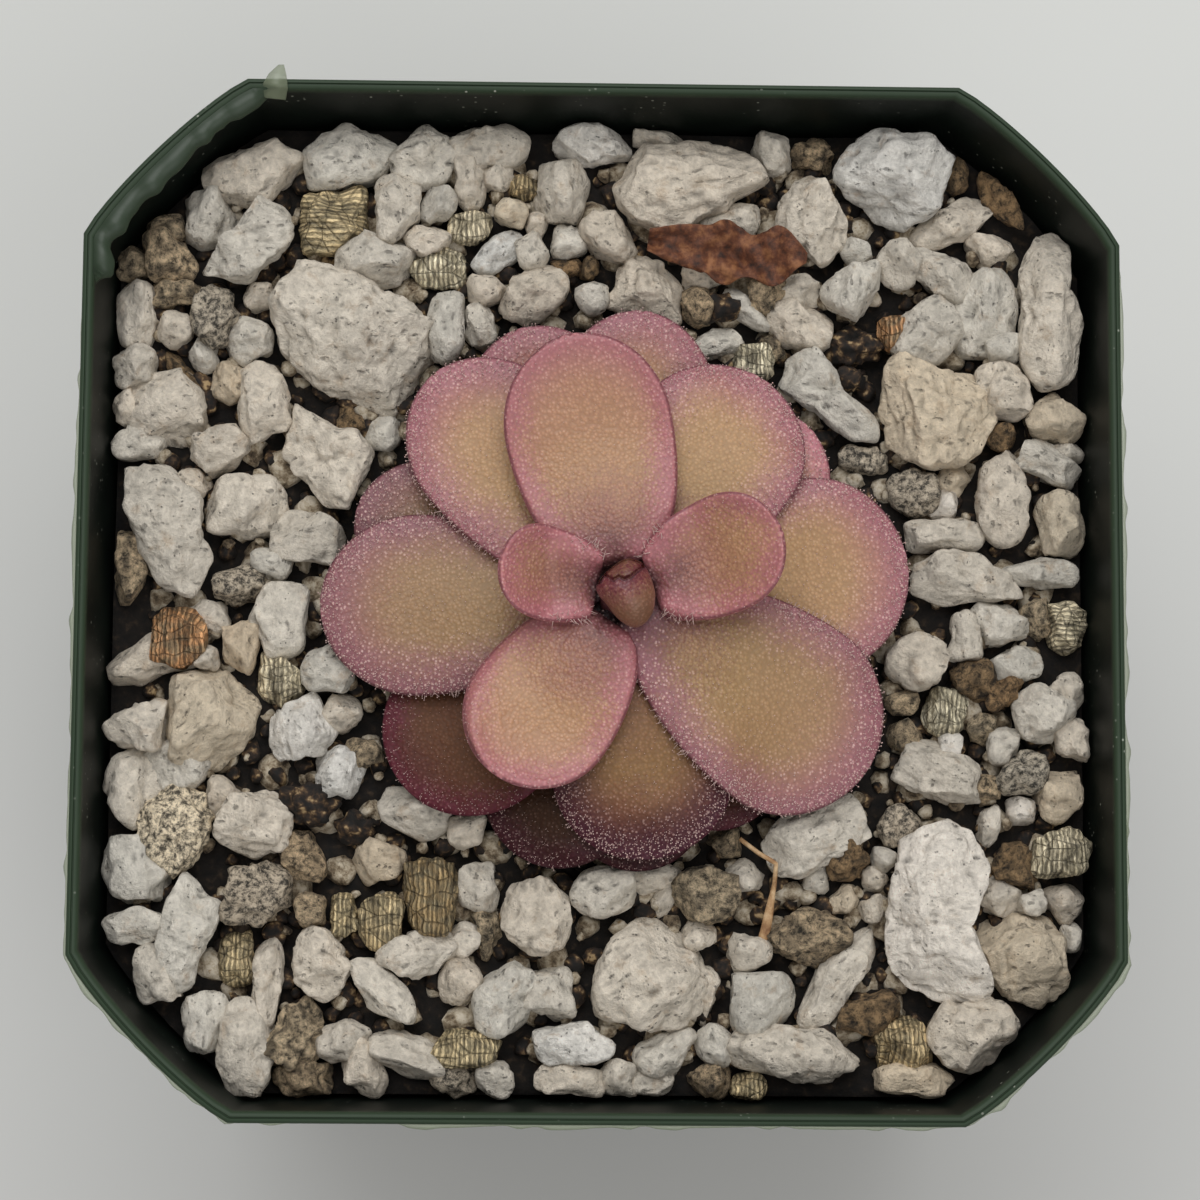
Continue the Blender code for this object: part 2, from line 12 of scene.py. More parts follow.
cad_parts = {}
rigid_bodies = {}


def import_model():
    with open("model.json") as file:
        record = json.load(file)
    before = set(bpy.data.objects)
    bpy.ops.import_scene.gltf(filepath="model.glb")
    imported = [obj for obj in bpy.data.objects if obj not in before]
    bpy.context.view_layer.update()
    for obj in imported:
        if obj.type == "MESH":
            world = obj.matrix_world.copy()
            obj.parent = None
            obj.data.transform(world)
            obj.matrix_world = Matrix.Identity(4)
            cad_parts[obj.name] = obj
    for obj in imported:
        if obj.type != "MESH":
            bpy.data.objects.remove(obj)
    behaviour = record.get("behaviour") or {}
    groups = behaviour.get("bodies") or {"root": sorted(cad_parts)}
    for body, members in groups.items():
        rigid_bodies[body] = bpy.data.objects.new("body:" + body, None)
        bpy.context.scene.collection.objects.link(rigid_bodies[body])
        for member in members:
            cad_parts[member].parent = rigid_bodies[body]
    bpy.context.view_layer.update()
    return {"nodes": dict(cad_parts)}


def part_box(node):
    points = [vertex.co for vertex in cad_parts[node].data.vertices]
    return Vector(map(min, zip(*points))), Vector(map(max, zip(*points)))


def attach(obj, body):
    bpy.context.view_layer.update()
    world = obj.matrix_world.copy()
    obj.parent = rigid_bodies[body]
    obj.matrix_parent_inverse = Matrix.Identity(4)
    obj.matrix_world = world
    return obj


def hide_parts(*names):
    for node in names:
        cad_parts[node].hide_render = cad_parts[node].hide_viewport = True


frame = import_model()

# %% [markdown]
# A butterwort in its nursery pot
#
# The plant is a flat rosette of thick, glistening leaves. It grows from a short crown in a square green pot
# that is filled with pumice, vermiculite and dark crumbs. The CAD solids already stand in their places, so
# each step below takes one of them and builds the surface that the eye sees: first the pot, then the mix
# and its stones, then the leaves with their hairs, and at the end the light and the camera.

MM = 0.001

# %% [markdown]
# Colours are written as sRGB hex values, as a colour picker gives them. The renderer works in linear light,
# so one function turns the first into the second. One more function adds any node to any tree, sets its
# properties and fills the sockets that it shows, from the top down: with a number, with a colour, or with a
# link from another node. Every material and every geometry tree below is made with it.


# %% colours, nodes and materials
def hex_colour(text):
    """Turn an sRGB hex value into linear red, green, blue and alpha."""
    channels = [int(text[i:i + 2], 16) / 255 for i in (1, 3, 5)]
    linear = [c / 12.92 if c <= 0.04045 else ((c + 0.055) / 1.055) ** 2.4 for c in channels]
    return (*linear, 1.0)


def shown(sockets):
    """The sockets that a node shows with its present settings."""
    return [socket for socket in sockets if socket.enabled]


def fill(tree, socket, value):
    """Fill a socket with a number or a colour, or link it to a socket or to a node's first output."""
    if isinstance(value, bpy.types.Node):
        value = shown(value.outputs)[0]
    if isinstance(value, bpy.types.NodeSocket):
        tree.links.new(value, socket)
    else:
        socket.default_value = hex_colour(value) if str(value).startswith("#") else value


def add_node(tree, kind, *values, stops=(), **settings):
    """Add a node with its settings, its values from the top down (None skips one) and its colour stops."""
    node = tree.nodes.new(kind if "Node" in kind else "ShaderNode" + kind)
    for name, value in settings.items():
        setattr(node, name, value)
    for socket, value in zip(shown(node.inputs), values):
        if value is not None:
            fill(tree, socket, value)
    if stops:
        elements = node.color_ramp.elements
        for position, _ in stops[1:-1]:
            elements.new(position)
        elements[0].position = stops[0][0]
        elements[-1].position = stops[-1][0]
        for element, (_, colour) in zip(elements, stops):
            element.color = hex_colour(colour)
    return node


def new_material(name, **constants):
    """Make a material whose shader has the given constants; return it with its own way to add nodes."""
    material = bpy.data.materials.new(name)
    material.use_nodes = True
    tree = material.node_tree
    for key, value in constants.items():
        fill(tree, tree.nodes["Principled BSDF"].inputs[key.replace("_", " ")], value)
    return material, partial(add_node, tree)


def dress(material, colour, height=None, strength=1.0, depth_mm=0.3):
    """Link a colour to a material's shader, and a height as relief, under its coat too where it has one."""
    tree = material.node_tree
    sockets = tree.nodes["Principled BSDF"].inputs
    fill(tree, sockets["Base Color"], colour)
    if height is not None:
        relief = add_node(tree, "Bump", strength, depth_mm * MM, None, height)
        fill(tree, sockets["Normal"], relief)
        if sockets["Coat Weight"].default_value > 0:
            fill(tree, sockets["Coat Normal"], relief)


def noise_finish(name, scale, detail, grain, stops, strength, depth_mm, **constants):
    """A finish whose colour follows one noise, and its relief too where it has strength."""
    material, add = new_material(name, **constants)
    noise = add("TexNoise", add("TexCoord").outputs["Object"], scale, detail, grain)
    dress(material, add("ValToRGB", noise, stops=stops), noise if strength else None, strength, depth_mm)
    return material


# %% [markdown]
# Most pieces are computed as arrays of points in millimetres. These helpers turn such arrays into a mesh in
# metres, keep any value that a material needs as an attribute of its points, and hide the CAD node that
# the piece stands for. Points that fall on one another are welded, which closes tips and margins.


# %% arrays to pieces
WELD_MM = 0.002
ATTRIBUTE_KINDS = {1: ("FLOAT", "value"), 3: ("FLOAT_VECTOR", "vector"), 4: ("FLOAT_COLOR", "color")}


def mesh_from_arrays(name, points, faces, values=None, weld=False):
    """Make a mesh from points in millimetres, with named point attributes."""
    mesh = bpy.data.meshes.new(name)
    mesh.from_pydata(np.asarray(points, dtype=float) * MM, [], [list(map(int, face)) for face in faces])
    for key, array in (values or {}).items():
        array = np.asarray(array, dtype=np.float32)
        kind, field = ATTRIBUTE_KINDS[array.size // len(array)]
        mesh.attributes.new(key, kind, "POINT").data.foreach_set(field, array.ravel())
    if weld:
        bm = bmesh.new()
        bm.from_mesh(mesh)
        bmesh.ops.remove_doubles(bm, verts=bm.verts, dist=WELD_MM * MM)
        bmesh.ops.dissolve_degenerate(bm, edges=bm.edges, dist=WELD_MM / 2 * MM)
        bmesh.ops.recalc_face_normals(bm, faces=bm.faces)
        bm.to_mesh(mesh)
        bm.free()
    mesh.shade_smooth()
    return mesh


def new_object(name, data):
    """Make an object and link it to the scene."""
    item = bpy.data.objects.new(name, data)
    bpy.context.scene.collection.objects.link(item)
    return item


def piece(mesh, material, slot, *replaced):
    """Put a mesh into the scene as a piece of the object that rides on its one body."""
    item = new_object(mesh.name, mesh)
    mesh.materials.clear()
    mesh.materials.append(material)
    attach(item, "root")
    if replaced:
        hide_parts(*replaced)
    return item


def evaluated_mesh(name, item):
    """The plain mesh that an object's modifiers make; the modifiers and the object are removed."""
    graph = bpy.context.evaluated_depsgraph_get()
    mesh = bpy.data.meshes.new_from_object(item.evaluated_get(graph))
    mesh.name = name
    item.modifiers.clear()
    bpy.data.objects.remove(item)
    return mesh


def at_height(plan, height):
    """Points of a plan, lifted to one height or each to its own."""
    return np.column_stack((plan, np.broadcast_to(height, len(plan))))


def read_table(text):
    """Rows of a written table: each row is a word and the numbers that follow it."""
    rows = []
    for word in text.split():
        if word[0].isalpha():
            rows.append((word, []))
        else:
            rows[-1][1].append(float(word))
    return rows


def smooth_noise(points, cell, seed):
    """Smooth random values between -1 and 1 at points in millimetres, on a lattice of one cell size."""
    table = np.random.default_rng(seed).uniform(-1, 1, (16, 16, 16))
    grid = np.floor(points / cell).astype(int)
    part = points / cell - grid
    part = part * part * (3 - 2 * part)
    total = np.zeros(len(points))
    for corner in itertools.product((0, 1), repeat=3):
        index = (grid + corner) % 16
        weight = np.prod(np.where(np.array(corner) == 1, part, 1 - part), axis=1)
        total += weight * table[index[:, 0], index[:, 1], index[:, 2]]
    return total


def ease(value, low, high):
    """Smooth step from 0 at low to 1 at high."""
    share = np.clip((np.asarray(value, dtype=float) - low) / (high - low), 0, 1)
    return share * share * (3 - 2 * share)


# %% [markdown]
# The pot is moulded from dark green polypropylene, about 0.9 mm thick. Its plan is a square with broad
# chamfers that bulge a little, and it widens towards the rim. One function gives that plan at any width.
# The wall is then a stack of such rings, run up the outside, over the rounded rim with its fine groove, and
# down the inside. Lofting rings was chosen over bevelling a cube because the rim's small radii then cost
# nothing.

# %% the pot's plan and its stack of rings
RIM_HEIGHT = 66.0
RIM_HALF_WIDTH = 38.1
BASE_HALF_WIDTH = 32.0
CORNER_LEG = 11.8
CORNER_BULGE = 1.161
LEG_PER_INSET = 0.586
FLOOR_THICKNESS = 1.4
WALL = 0.9
ARC_POINTS = 14
SIDE_POINTS = 10
POT_PROFILE = (
    (0.0, 0.7), (0.12, 0.3), (0.5, 0.04), (1.2, 0.0), (20.0, 0.0), (45.0, 0.0), (62.0, 0.0), (65.4, 0.0),
    (65.72, 0.03), (65.9, 0.12), (65.99, 0.27), (65.99, 0.36), (65.86, 0.42), (65.86, 0.46), (65.99, 0.52),
    (65.99, 0.66), (65.9, 0.79), (65.72, 0.87), (65.4, 0.9), (62.0, 0.9), (56.0, 0.9), (30.0, 0.9),
    (2.2, 0.9), (1.6, 1.1), (FLOOR_THICKNESS, 1.7),
)


def pot_half_width(height):
    """Outer half width of the pot in millimetres at a height."""
    return BASE_HALF_WIDTH + (RIM_HALF_WIDTH - BASE_HALF_WIDTH) * height / RIM_HEIGHT


def pot_plan(height, inset):
    """Closed plan of the pot at a height, moved inwards by inset."""
    half = pot_half_width(height) - inset
    leg = CORNER_LEG * pot_half_width(height) / RIM_HALF_WIDTH - LEG_PER_INSET * inset
    quarter = []
    for step in range(ARC_POINTS + 1):
        angle = math.pi / 2 * step / ARC_POINTS
        c, s = math.cos(angle), math.sin(angle)
        reach = leg * (c ** CORNER_BULGE + s ** CORNER_BULGE) ** (-1 / CORNER_BULGE)
        quarter.append((half - leg + reach * c, half - leg + reach * s))
    straight = half - leg
    for step in range(1, SIDE_POINTS):
        quarter.append((straight - 2 * straight * step / SIDE_POINTS, half))
    plan = []
    for _ in range(4):
        plan.extend(quarter)
        quarter = [(-y, x) for x, y in quarter]
    return np.array(plan)


def loft(rings):
    """Points and faces of a closed skin through rings of equal size, its first and last ring capped."""
    count = len(rings[0])
    faces = []
    for row in range(len(rings) - 1):
        for k in range(count):
            a, b = row * count + k, row * count + (k + 1) % count
            faces.append((a, b, b + count, a + count))
    faces.append(tuple(range(count))[::-1])
    faces.append(tuple(range((len(rings) - 1) * count, len(rings) * count)))
    return np.vstack(rings), faces


pot_points, pot_faces = loft([at_height(pot_plan(z, inset), z) for z, inset in POT_PROFILE])
print("pot points:", len(pot_points))

# %% [markdown]
# Moulded polypropylene is a satin plastic. Its surface is almost smooth, with faint flow marks, and here it
# carries pale mineral dust that came off the dry pumice. Dust is drawn as small dots of irregular strength,
# in loose patches, and it gets thinner below the level of the mix. The green is drawn darker than the
# plastic, as painted shade for the deep inner wall, and the top of the rim is paler, a painted highlight.

# %% dark green polypropylene with mineral dust
POLYPROPYLENE_IOR = 1.49
DUST_SPACING_MM = 0.7
DUSTY_SHARE = 0.6
FLOW_MARK_MM = 2.5

pot_material, add = new_material("moulded_polypropylene", Roughness=0.5, IOR=POLYPROPYLENE_IOR,
                                 Specular_IOR_Level=0.25)
place = add("TexCoord").outputs["Object"]
level = add("SeparateXYZ", place).outputs["Z"]
dots = add("TexVoronoi", place, 1000 / DUST_SPACING_MM)
dust = add("MapRange", dots, 0.17, 0.08)
patch = add("MapRange", add("TexNoise", place, 160.0, 3.0), 0.5, 0.66)
near_mix = add("MapRange", level, 0.053, 0.058, 0.15, 1.0)
chosen = add("Math", add("SeparateColor", dots.outputs["Color"]), DUSTY_SHARE, operation="LESS_THAN")
for factor in (patch, near_mix, chosen):
    dust = add("Math", dust, factor, operation="MULTIPLY")
marks = add("TexNoise", place, 1000 / FLOW_MARK_MM, 4.0)
# The plastic's green with its flow marks, drawn nearly black as painted shade for the inner wall.
green = add("ValToRGB", marks, stops=((0.3, "#0a100c"), (0.7, "#0f1712")))
# The top of the rim is painted paler than the wall: a painted highlight.
rim_highlighted = add("Mix", add("MapRange", level, 0.0652, 0.0658), green, "#2e3d2d", data_type="RGBA")
dress(pot_material, add("Mix", dust, rim_highlighted, "#a3a79c", data_type="RGBA"), marks, 0.25, 0.08)

# %% [markdown]
# The base has four drain holes. They are cut with a Boolean through the finished shell, as the punch does
# in the mould.

# %% the pot shell with its drain holes
DRAIN_OFFSET = 19.0
DRAIN_RADIUS = 4.5
SHARP_ANGLE = math.radians(38)

shell = new_object("shell", mesh_from_arrays("shell", pot_points, pot_faces))
punches = []
for side_x, side_y in itertools.product((-1, 1), repeat=2):
    bm = bmesh.new()
    bmesh.ops.create_cone(bm, cap_ends=True, segments=40, radius1=DRAIN_RADIUS * MM,
                          radius2=DRAIN_RADIUS * MM, depth=6 * MM)
    bmesh.ops.translate(bm, verts=bm.verts, vec=(side_x * DRAIN_OFFSET * MM, side_y * DRAIN_OFFSET * MM, 0))
    punch = bpy.data.meshes.new("punch")
    bm.to_mesh(punch)
    bm.free()
    punches.append(new_object("punch", punch))
    cut = shell.modifiers.new("cut", "BOOLEAN")
    cut.operation = "DIFFERENCE"
    cut.solver = "EXACT"
    cut.object = punches[-1]
pot_mesh = evaluated_mesh("moulded_pot", shell)
for punch in punches:
    bpy.data.objects.remove(punch)
pot_mesh.shade_smooth()
pot_mesh.set_sharp_from_angle(angle=SHARP_ANGLE)
piece(pot_mesh, pot_material, "pot", "pot")
print("pot shell:", len(pot_mesh.polygons), "faces")

# %% [markdown]
# Where the two halves of the mould met, a thin film of plastic was squeezed out. It stands as a pale ragged
# fringe along the outside of the rim, and one loose green strip of it hangs along the inside of a corner.
# Each is a ribbon with a wavy free edge, about 0.1 mm thick.

# %% the ragged film on the rim
FILM_THICKNESS = 0.12
FILM_STEP = 0.35
RIM_FILMS = (
    ("rim_film_right", 0.83, 0.995, 0.12, 0.5, 65.75, 0.0, 1.0, 41),
    ("rim_film_left", 0.33, 0.58, 0.12, 0.4, 65.75, 0.0, 1.0, 43),
    ("rim_film_front", 0.6, 0.85, 0.12, 0.5, 65.75, 0.0, 1.0, 45),
    ("rim_film_corner", 0.243, 0.324, 0.82, -2.2, 65.9, 0.9, 0.4, 47),
)
TAB_FIXED = ((-25.4, 36.8, 65.3), (-25.1, 37.6, 66.15), (-24.7, 38.3, 66.3), (-24.0, 39.0, 66.2))
TAB_FREE = ((-23.5, 36.6, 65.3), (-23.3, 37.3, 66.15), (-23.4, 38.2, 66.35), (-23.6, 39.0, 66.25))

film_material, _ = new_material("thin_polypropylene_film", Roughness=0.35, IOR=POLYPROPYLENE_IOR, Alpha=0.55,
                                Base_Color="#95a085", Transmission_Weight=0.35)
flap_material, _ = new_material("green_polypropylene_film", Roughness=0.45, IOR=POLYPROPYLENE_IOR, Alpha=0.9,
                                Base_Color="#2f3e2e")


def ribbon(name, fixed, free):
    """A closed thin strip between two open rows of points."""
    count = len(fixed)
    lift = np.array((0, 0, FILM_THICKNESS))
    points = np.vstack((fixed, free, free - lift, fixed - lift))
    faces = []
    for k in range(count - 1):
        for row in range(4):
            a, b = row * count + k, (row + 1) % 4 * count + k
            faces.append((a, b, b + 1, a + 1))
    faces.append((0, 3 * count, 2 * count, count))
    faces.append((count - 1, 2 * count - 1, 3 * count - 1, 4 * count - 1))
    return mesh_from_arrays(name, points, faces, weld=True)


def resample(route, spacing):
    """Points at even steps along an open route in plan or in space."""
    route = np.asarray(route, dtype=float)
    lengths = np.concatenate(((0,), np.cumsum(np.linalg.norm(np.diff(route, axis=0), axis=1))))
    stations = np.linspace(0, lengths[-1], max(2, int(lengths[-1] / spacing) + 1))
    return np.column_stack([np.interp(stations, lengths, route[:, axis]) for axis in range(route.shape[1])])


def rim_film(name, start, end, inset, breadth, height, drop, ragged, seed):
    """A strip that follows the rim's plan between two shares of its length; a negative breadth points in."""
    plan = pot_plan(RIM_HEIGHT, inset)
    plan = resample(np.vstack((plan, plan[:1])), FILM_STEP)
    plan = plan[int(start * len(plan)):int(end * len(plan))]
    outward = plan / np.linalg.norm(plan, axis=1)[:, None]
    flat = at_height(plan, 0)
    wave = 0.5 + ragged * (0.5 * smooth_noise(flat, 1.1, seed) + 0.35 * smooth_noise(flat, 3.7, seed + 1))
    ends = ease(np.arange(len(plan)), 0, 6) * ease(len(plan) - 1 - np.arange(len(plan)), 0, 6)
    reach = np.clip(wave, 0.08, 1.4) * breadth * ends
    free = at_height(plan + outward * reach[:, None], height + 0.12 * wave - drop)
    return ribbon(name, at_height(plan, height), free)


for row in RIM_FILMS:
    piece(rim_film(*row), flap_material if row[0] == "rim_film_corner" else film_material, "pot")
tab_edges = resample(np.hstack((TAB_FIXED, TAB_FREE)), 0.2)
piece(ribbon("rim_film_tab", tab_edges[:, :3], tab_edges[:, 3:]), film_material, "pot")
print("strips of film:", len(RIM_FILMS) + 1)

# %% [markdown]
# The mix fills the pot to about 7 mm below the rim. Under the visible stones it is a dark, loose fill, so
# it is one closed block whose top is a fine grid that noise roughens. The block follows the pot's plan with
# a small gap, and it goes down to the floor.

# %% the dark fill under the stones
BED_HEIGHT = 58.2
BED_GAP = WALL + 0.35
BED_RINGS = 46
BED_SIDE_LEVELS = (1.8, 20.0, 40.0, 54.0, BED_HEIGHT)
ROUGH_HALF_WIDTH = 36.2

bed_rim = pot_plan(BED_HEIGHT, BED_GAP)
bed_rings = [at_height(pot_plan(level, BED_GAP), level) for level in BED_SIDE_LEVELS]
bed_rings += [at_height(bed_rim * (1 - ring / BED_RINGS), BED_HEIGHT) for ring in range(1, BED_RINGS)]
bed_points, bed_faces = loft(bed_rings)
rough_top = bed_points[:, 2] >= BED_HEIGHT - 0.01
rough_top &= np.max(np.abs(bed_points[:, :2]), axis=1) < ROUGH_HALF_WIDTH
rough = 0.5 * smooth_noise(bed_points, 2.3, 11) + 0.35 * smooth_noise(bed_points, 0.9, 12)
bed_points[rough_top, 2] += rough[rough_top]
bed_material = noise_finish("loose_dark_fill", 1400.0, 5.0, 0.5,
                            ((0.35, "#060403"), (0.58, "#17110c"), (0.75, "#3a2e22")), 0.8, 0.3,
                            Roughness=0.95)
piece(mesh_from_arrays("gritty_fill", bed_points, bed_faces), bed_material, "growing_mix", "growing_mix")
print("fill points:", len(bed_points))

# %% [markdown]
# Pumice is a volcanic glass foam. Its stones are pale, blunt blocks with worn corners, chipped flats and
# round pits. Each stone below starts as a ball whose plan is either a superellipse or an outline of its
# own. Random planes then cut flats into it, smooth noise roughens it, and small dents make the pits.
# Vermiculite is mica that was puffed by heat, so its grains get parallel ridges along the stack of their
# layers. Crumbly and speckled grains are lumpy instead, and a clod of bark is lumpier still.

# %% how one stone is shaped
BLOCKINESS = 2.6
RIDGE_SPACING = 0.5
FLATS = 11


@lru_cache
def ball(level):
    """Unit points and triangles of an icosphere, made once for each level."""
    bm = bmesh.new()
    bmesh.ops.create_icosphere(bm, subdivisions=level, radius=1.0)
    points = np.array([v.co[:] for v in bm.verts])
    faces = np.array([[v.index for v in f.verts] for f in bm.faces])
    bm.free()
    return points, faces


def plan_reach(outline, azimuth):
    """Distance from the centre to a closed outline in each direction."""
    closed = resample(np.vstack((outline, outline[:1])), 0.15)
    for _ in range(6):
        closed = (np.roll(closed, 1, axis=0) + 2 * closed + np.roll(closed, -1, axis=0)) / 4
    angles = np.arctan2(closed[:, 1], closed[:, 0])
    order = np.argsort(angles)
    reach = np.hypot(closed[:, 0], closed[:, 1])[order]
    return np.interp(azimuth, angles[order], reach, period=2 * math.pi)


def stone(kind, size, turn, seed, level, outline=None):
    """Points of one stone round its own centre, with its local coordinates and the painted shade of its
    pits.
    """
    rng = np.random.default_rng(seed)
    unit, faces = ball(level)
    length, width, height = size
    azimuth = np.arctan2(unit[:, 1], unit[:, 0])
    spread = np.hypot(unit[:, 0], unit[:, 1])
    block = (spread ** BLOCKINESS + np.abs(unit[:, 2]) ** BLOCKINESS) ** (-1 / BLOCKINESS)
    if outline is None:
        square = rng.uniform(2.1, 3.2)
        reach = ((np.abs(np.cos(azimuth)) * 2 / length) ** square
                 + (np.abs(np.sin(azimuth)) * 2 / width) ** square) ** (-1 / square)
        for wave in (2, 3, 5):
            reach *= 1 + 0.11 / wave * np.sin(wave * azimuth + rng.uniform(0, 2 * math.pi))
    else:
        reach = plan_reach(outline, azimuth)
        length, width = np.ptp(outline[:, 0]), np.ptp(outline[:, 1])
    shape = np.column_stack((reach * spread * block * np.cos(azimuth),
                             reach * spread * block * np.sin(azimuth),
                             height / 2 * unit[:, 2] * block))
    half = np.array((length, width, height)) / 2
    shape = shape / half
    for _ in range(FLATS):
        normal = rng.normal(size=3)
        if outline is not None or normal[2] < -0.3:
            normal[2] = 0.5 + abs(normal[2])
        normal /= np.linalg.norm(normal)
        along = shape @ normal
        over = np.clip(along - along.max() * rng.uniform(0.68, 0.87), 0, None)
        shape -= 0.95 * over[:, None] * normal
    shape = shape * half
    breadth = min(length, width, 5.0)
    flow = np.ones(3)
    flow[rng.integers(2)] = 0.42

    def noise(cell, offset):
        return smooth_noise(shape, cell, seed + offset)

    rough = 0.08 * breadth * noise(0.55 * breadth, 1)
    rough += 0.05 * breadth * noise(0.26 * breadth, 5)
    rough += (0.11 * smooth_noise(shape * flow, 0.62, seed + 2)
              + 0.07 * smooth_noise(shape * flow, 0.33, seed + 3))
    crease = np.clip(1 - 6 * np.abs(noise(0.5 * breadth, 6)), 0, 1)
    rough -= 0.04 * breadth * crease ** 2
    # The pit values are painted shade: the materials darken the dents of pumice, the grooves between the
    # ridges of vermiculite and the holes of crumbs by them.
    pit_shades = np.zeros(len(shape))
    if kind == "vermiculite":
        bent = shape[:, 0] + 0.5 * noise(2.0, 4)
        stack = np.column_stack((bent / RIDGE_SPACING, 0.22 * shape[:, 1], 0.22 * shape[:, 2]))
        layer = smooth_noise(stack, 0.5, seed + 7)
        rough += 0.13 * layer
        pit_shades = np.clip(-1.6 * layer, 0, 1)
    elif kind == "crumbly":
        rough += 0.22 * noise(0.75, 8) + 0.14 * noise(0.4, 9)
        pit_shades = np.clip(-1.5 * noise(0.6, 10), 0, 1)
    elif kind == "clod":
        rough += 0.42 * noise(0.85, 8) + 0.3 * noise(0.45, 9)
    elif kind == "pumice":
        for _ in range(int(1.3 * length * width) + 3):
            offset = (shape - shape[rng.integers(len(shape))]) * flow
            radius = rng.uniform(0.1, 0.36) * min(1, breadth / 4)
            dent = np.exp(-(np.linalg.norm(offset, axis=1) / radius) ** 2)
            rough -= 0.8 * radius * dent
            pit_shades = np.maximum(pit_shades, dent * rng.uniform(0.3, 1.0))
    local = shape.copy()
    shape = shape + unit * rough[:, None]
    if outline is None:
        c, s = math.cos(math.radians(turn)), math.sin(math.radians(turn))
        shape[:, :2] = shape[:, :2] @ np.array(((c, s), (-s, c)))
    return shape, faces, local + 40 * rng.random(3), pit_shades


# %% [markdown]
# The five grains differ in finish. Dry pumice is matt and chalky, with round pores and long slits along its
# flow, and these and its dents are darkened with painted shade. Vermiculite shines like brass on its thin
# plates, with painted glints on their edges and painted shade in the cracks across them and in between.
# Speckled grains are a grey rock with black crystals. Weathered crumbs are brown and full of holes, darkened
# with painted shade, and bark crumbs are nearly black. All but the bark read each stone's own coordinates in
# millimetres, so that a pattern keeps its scale and no two stones look alike.

# %% dry pumice with its pores, slits and stains
PORE_MM = 0.33
GRIT_MM = 0.28
GRAIN_MM = 0.9
SLIT_MM = 0.55


def stone_finish(name, **constants):
    """Start a stone's material, and return it with its local place, its colour and the painted shade of its
    pits.
    """
    material, add = new_material(name, **constants)
    values = [add("Attribute", attribute_name=key).outputs[output]
              for key, output in (("local", "Vector"), ("stone_colour", "Color"), ("pit", "Fac"))]
    return (material, add, *values)


pumice_material, add, local, tint, pit = stone_finish("dry_pumice", Roughness=0.92, IOR=1.5)
mottle = add("TexNoise", local, 1 / GRAIN_MM, 8.0, 0.68)
grit = add("TexNoise", local, 1 / GRIT_MM, 5.0, 0.7)
chance = add("TexNoise", local, 1.3, 2.0)
flow = add("Mapping", local, None, (0, 0, 0.6), (0.55, 1.5, 1.1))
ragged = add("TexNoise", local, 2.2, 3.0).outputs["Color"]
bent = add("Mix", 0.4, flow, ragged, data_type="VECTOR")
holes = []
# Pores and slits are drawn as dark holes: painted shade inside them.
for place, size_mm, rare, common, least, most, core, lip, dark in (
    (local, PORE_MM, 0.54, 0.74, 0.03, 0.42, 0.5, 1.0, 0.38),
    (bent, SLIT_MM, 0.4, 0.62, 0.02, 0.32, 0.4, 1.2, 0.45),
):
    reach = add("MapRange", chance, rare, common, least, most)
    inside = add("Math", add("TexVoronoi", place, 1 / size_mm), reach, operation="DIVIDE")
    holes.append(add("MapRange", inside, core, lip, dark, 1.0))
pore_shade, slit_shade = holes
value = add("MapRange", mottle, 0.36, 0.6, 0.72, 1.06)
gritty = add("MapRange", grit, 0.35, 0.6, 0.93, 1.1)
# The dents of the stone are darkened: painted shade.
hollow_shade = add("MapRange", pit, 0.3, 1.0, 1.0, 0.45)
for factor in (gritty, pore_shade, hollow_shade, slit_shade):
    value = add("Math", value, factor, operation="MULTIPLY")
coarse = mottle
for factor in holes:
    coarse = add("Math", coarse, factor, operation="MULTIPLY")
stain = add("MapRange", add("TexNoise", local, 0.62, 6.0, 0.7), 0.56, 0.74, 0.0, 0.6)
stained = add("Mix", stain, tint, "#a8875f", data_type="RGBA")
dress(pumice_material, add("VectorMath", stained, value, operation="SCALE"),
      add("Math", grit, 0.4, coarse, operation="MULTIPLY_ADD"), 1.0, 0.6)

# %% puffed vermiculite with its plates
LAYER_MM = 0.3
PLATE_MM = 0.36
WAVE_LENGTH = 0.314

vermiculite_material, add, local, tint, pit = stone_finish("puffed_vermiculite", Roughness=0.55,
                                                           Metallic=0.15)
stack = add("Mapping", local, None, None, (1 / LAYER_MM, 0.5, 0.5))
layers = add("TexNoise", stack, 1.0, 4.0, 0.7, None, 0.4)
plates = add("TexWave", local, WAVE_LENGTH / PLATE_MM, 4.5, 4.0, 0.9, 0.7, bands_direction="X")
# The plate bands are painted: lighter glints along the plates and painted shade between them.
plate_glint_and_shade = add("MapRange", plates.outputs["Fac"], 0.05, 0.65, 0.58, 1.15)
across = add("Mapping", local, None, None, (0.5, 1.1, 1.1))
cracks = add("TexVoronoi", across, 0.9, feature="DISTANCE_TO_EDGE")
# The cracks across the plates get painted shade.
crack_shade = add("MapRange", cracks, 0.0, 0.08, 0.55, 1.0)
flake = add("MapRange", add("TexNoise", local, 0.9, 5.0, 0.65), 0.42, 0.6, 0.0, 0.75)
value = add("MapRange", layers, 0.36, 0.56, 0.5, 1.3)
# The grooves between the ridges get painted shade from the pit values.
for factor in (plate_glint_and_shade, crack_shade, add("MapRange", pit, 0.0, 1.0, 1.0, 0.45)):
    value = add("Math", value, factor, operation="MULTIPLY")
mixed = add("Mix", flake, tint, "#80775f", data_type="RGBA")
dress(vermiculite_material, add("VectorMath", mixed, value, operation="SCALE"),
      add("Math", plate_glint_and_shade, crack_shade, layers, operation="MULTIPLY_ADD"), 1.0, 0.3)


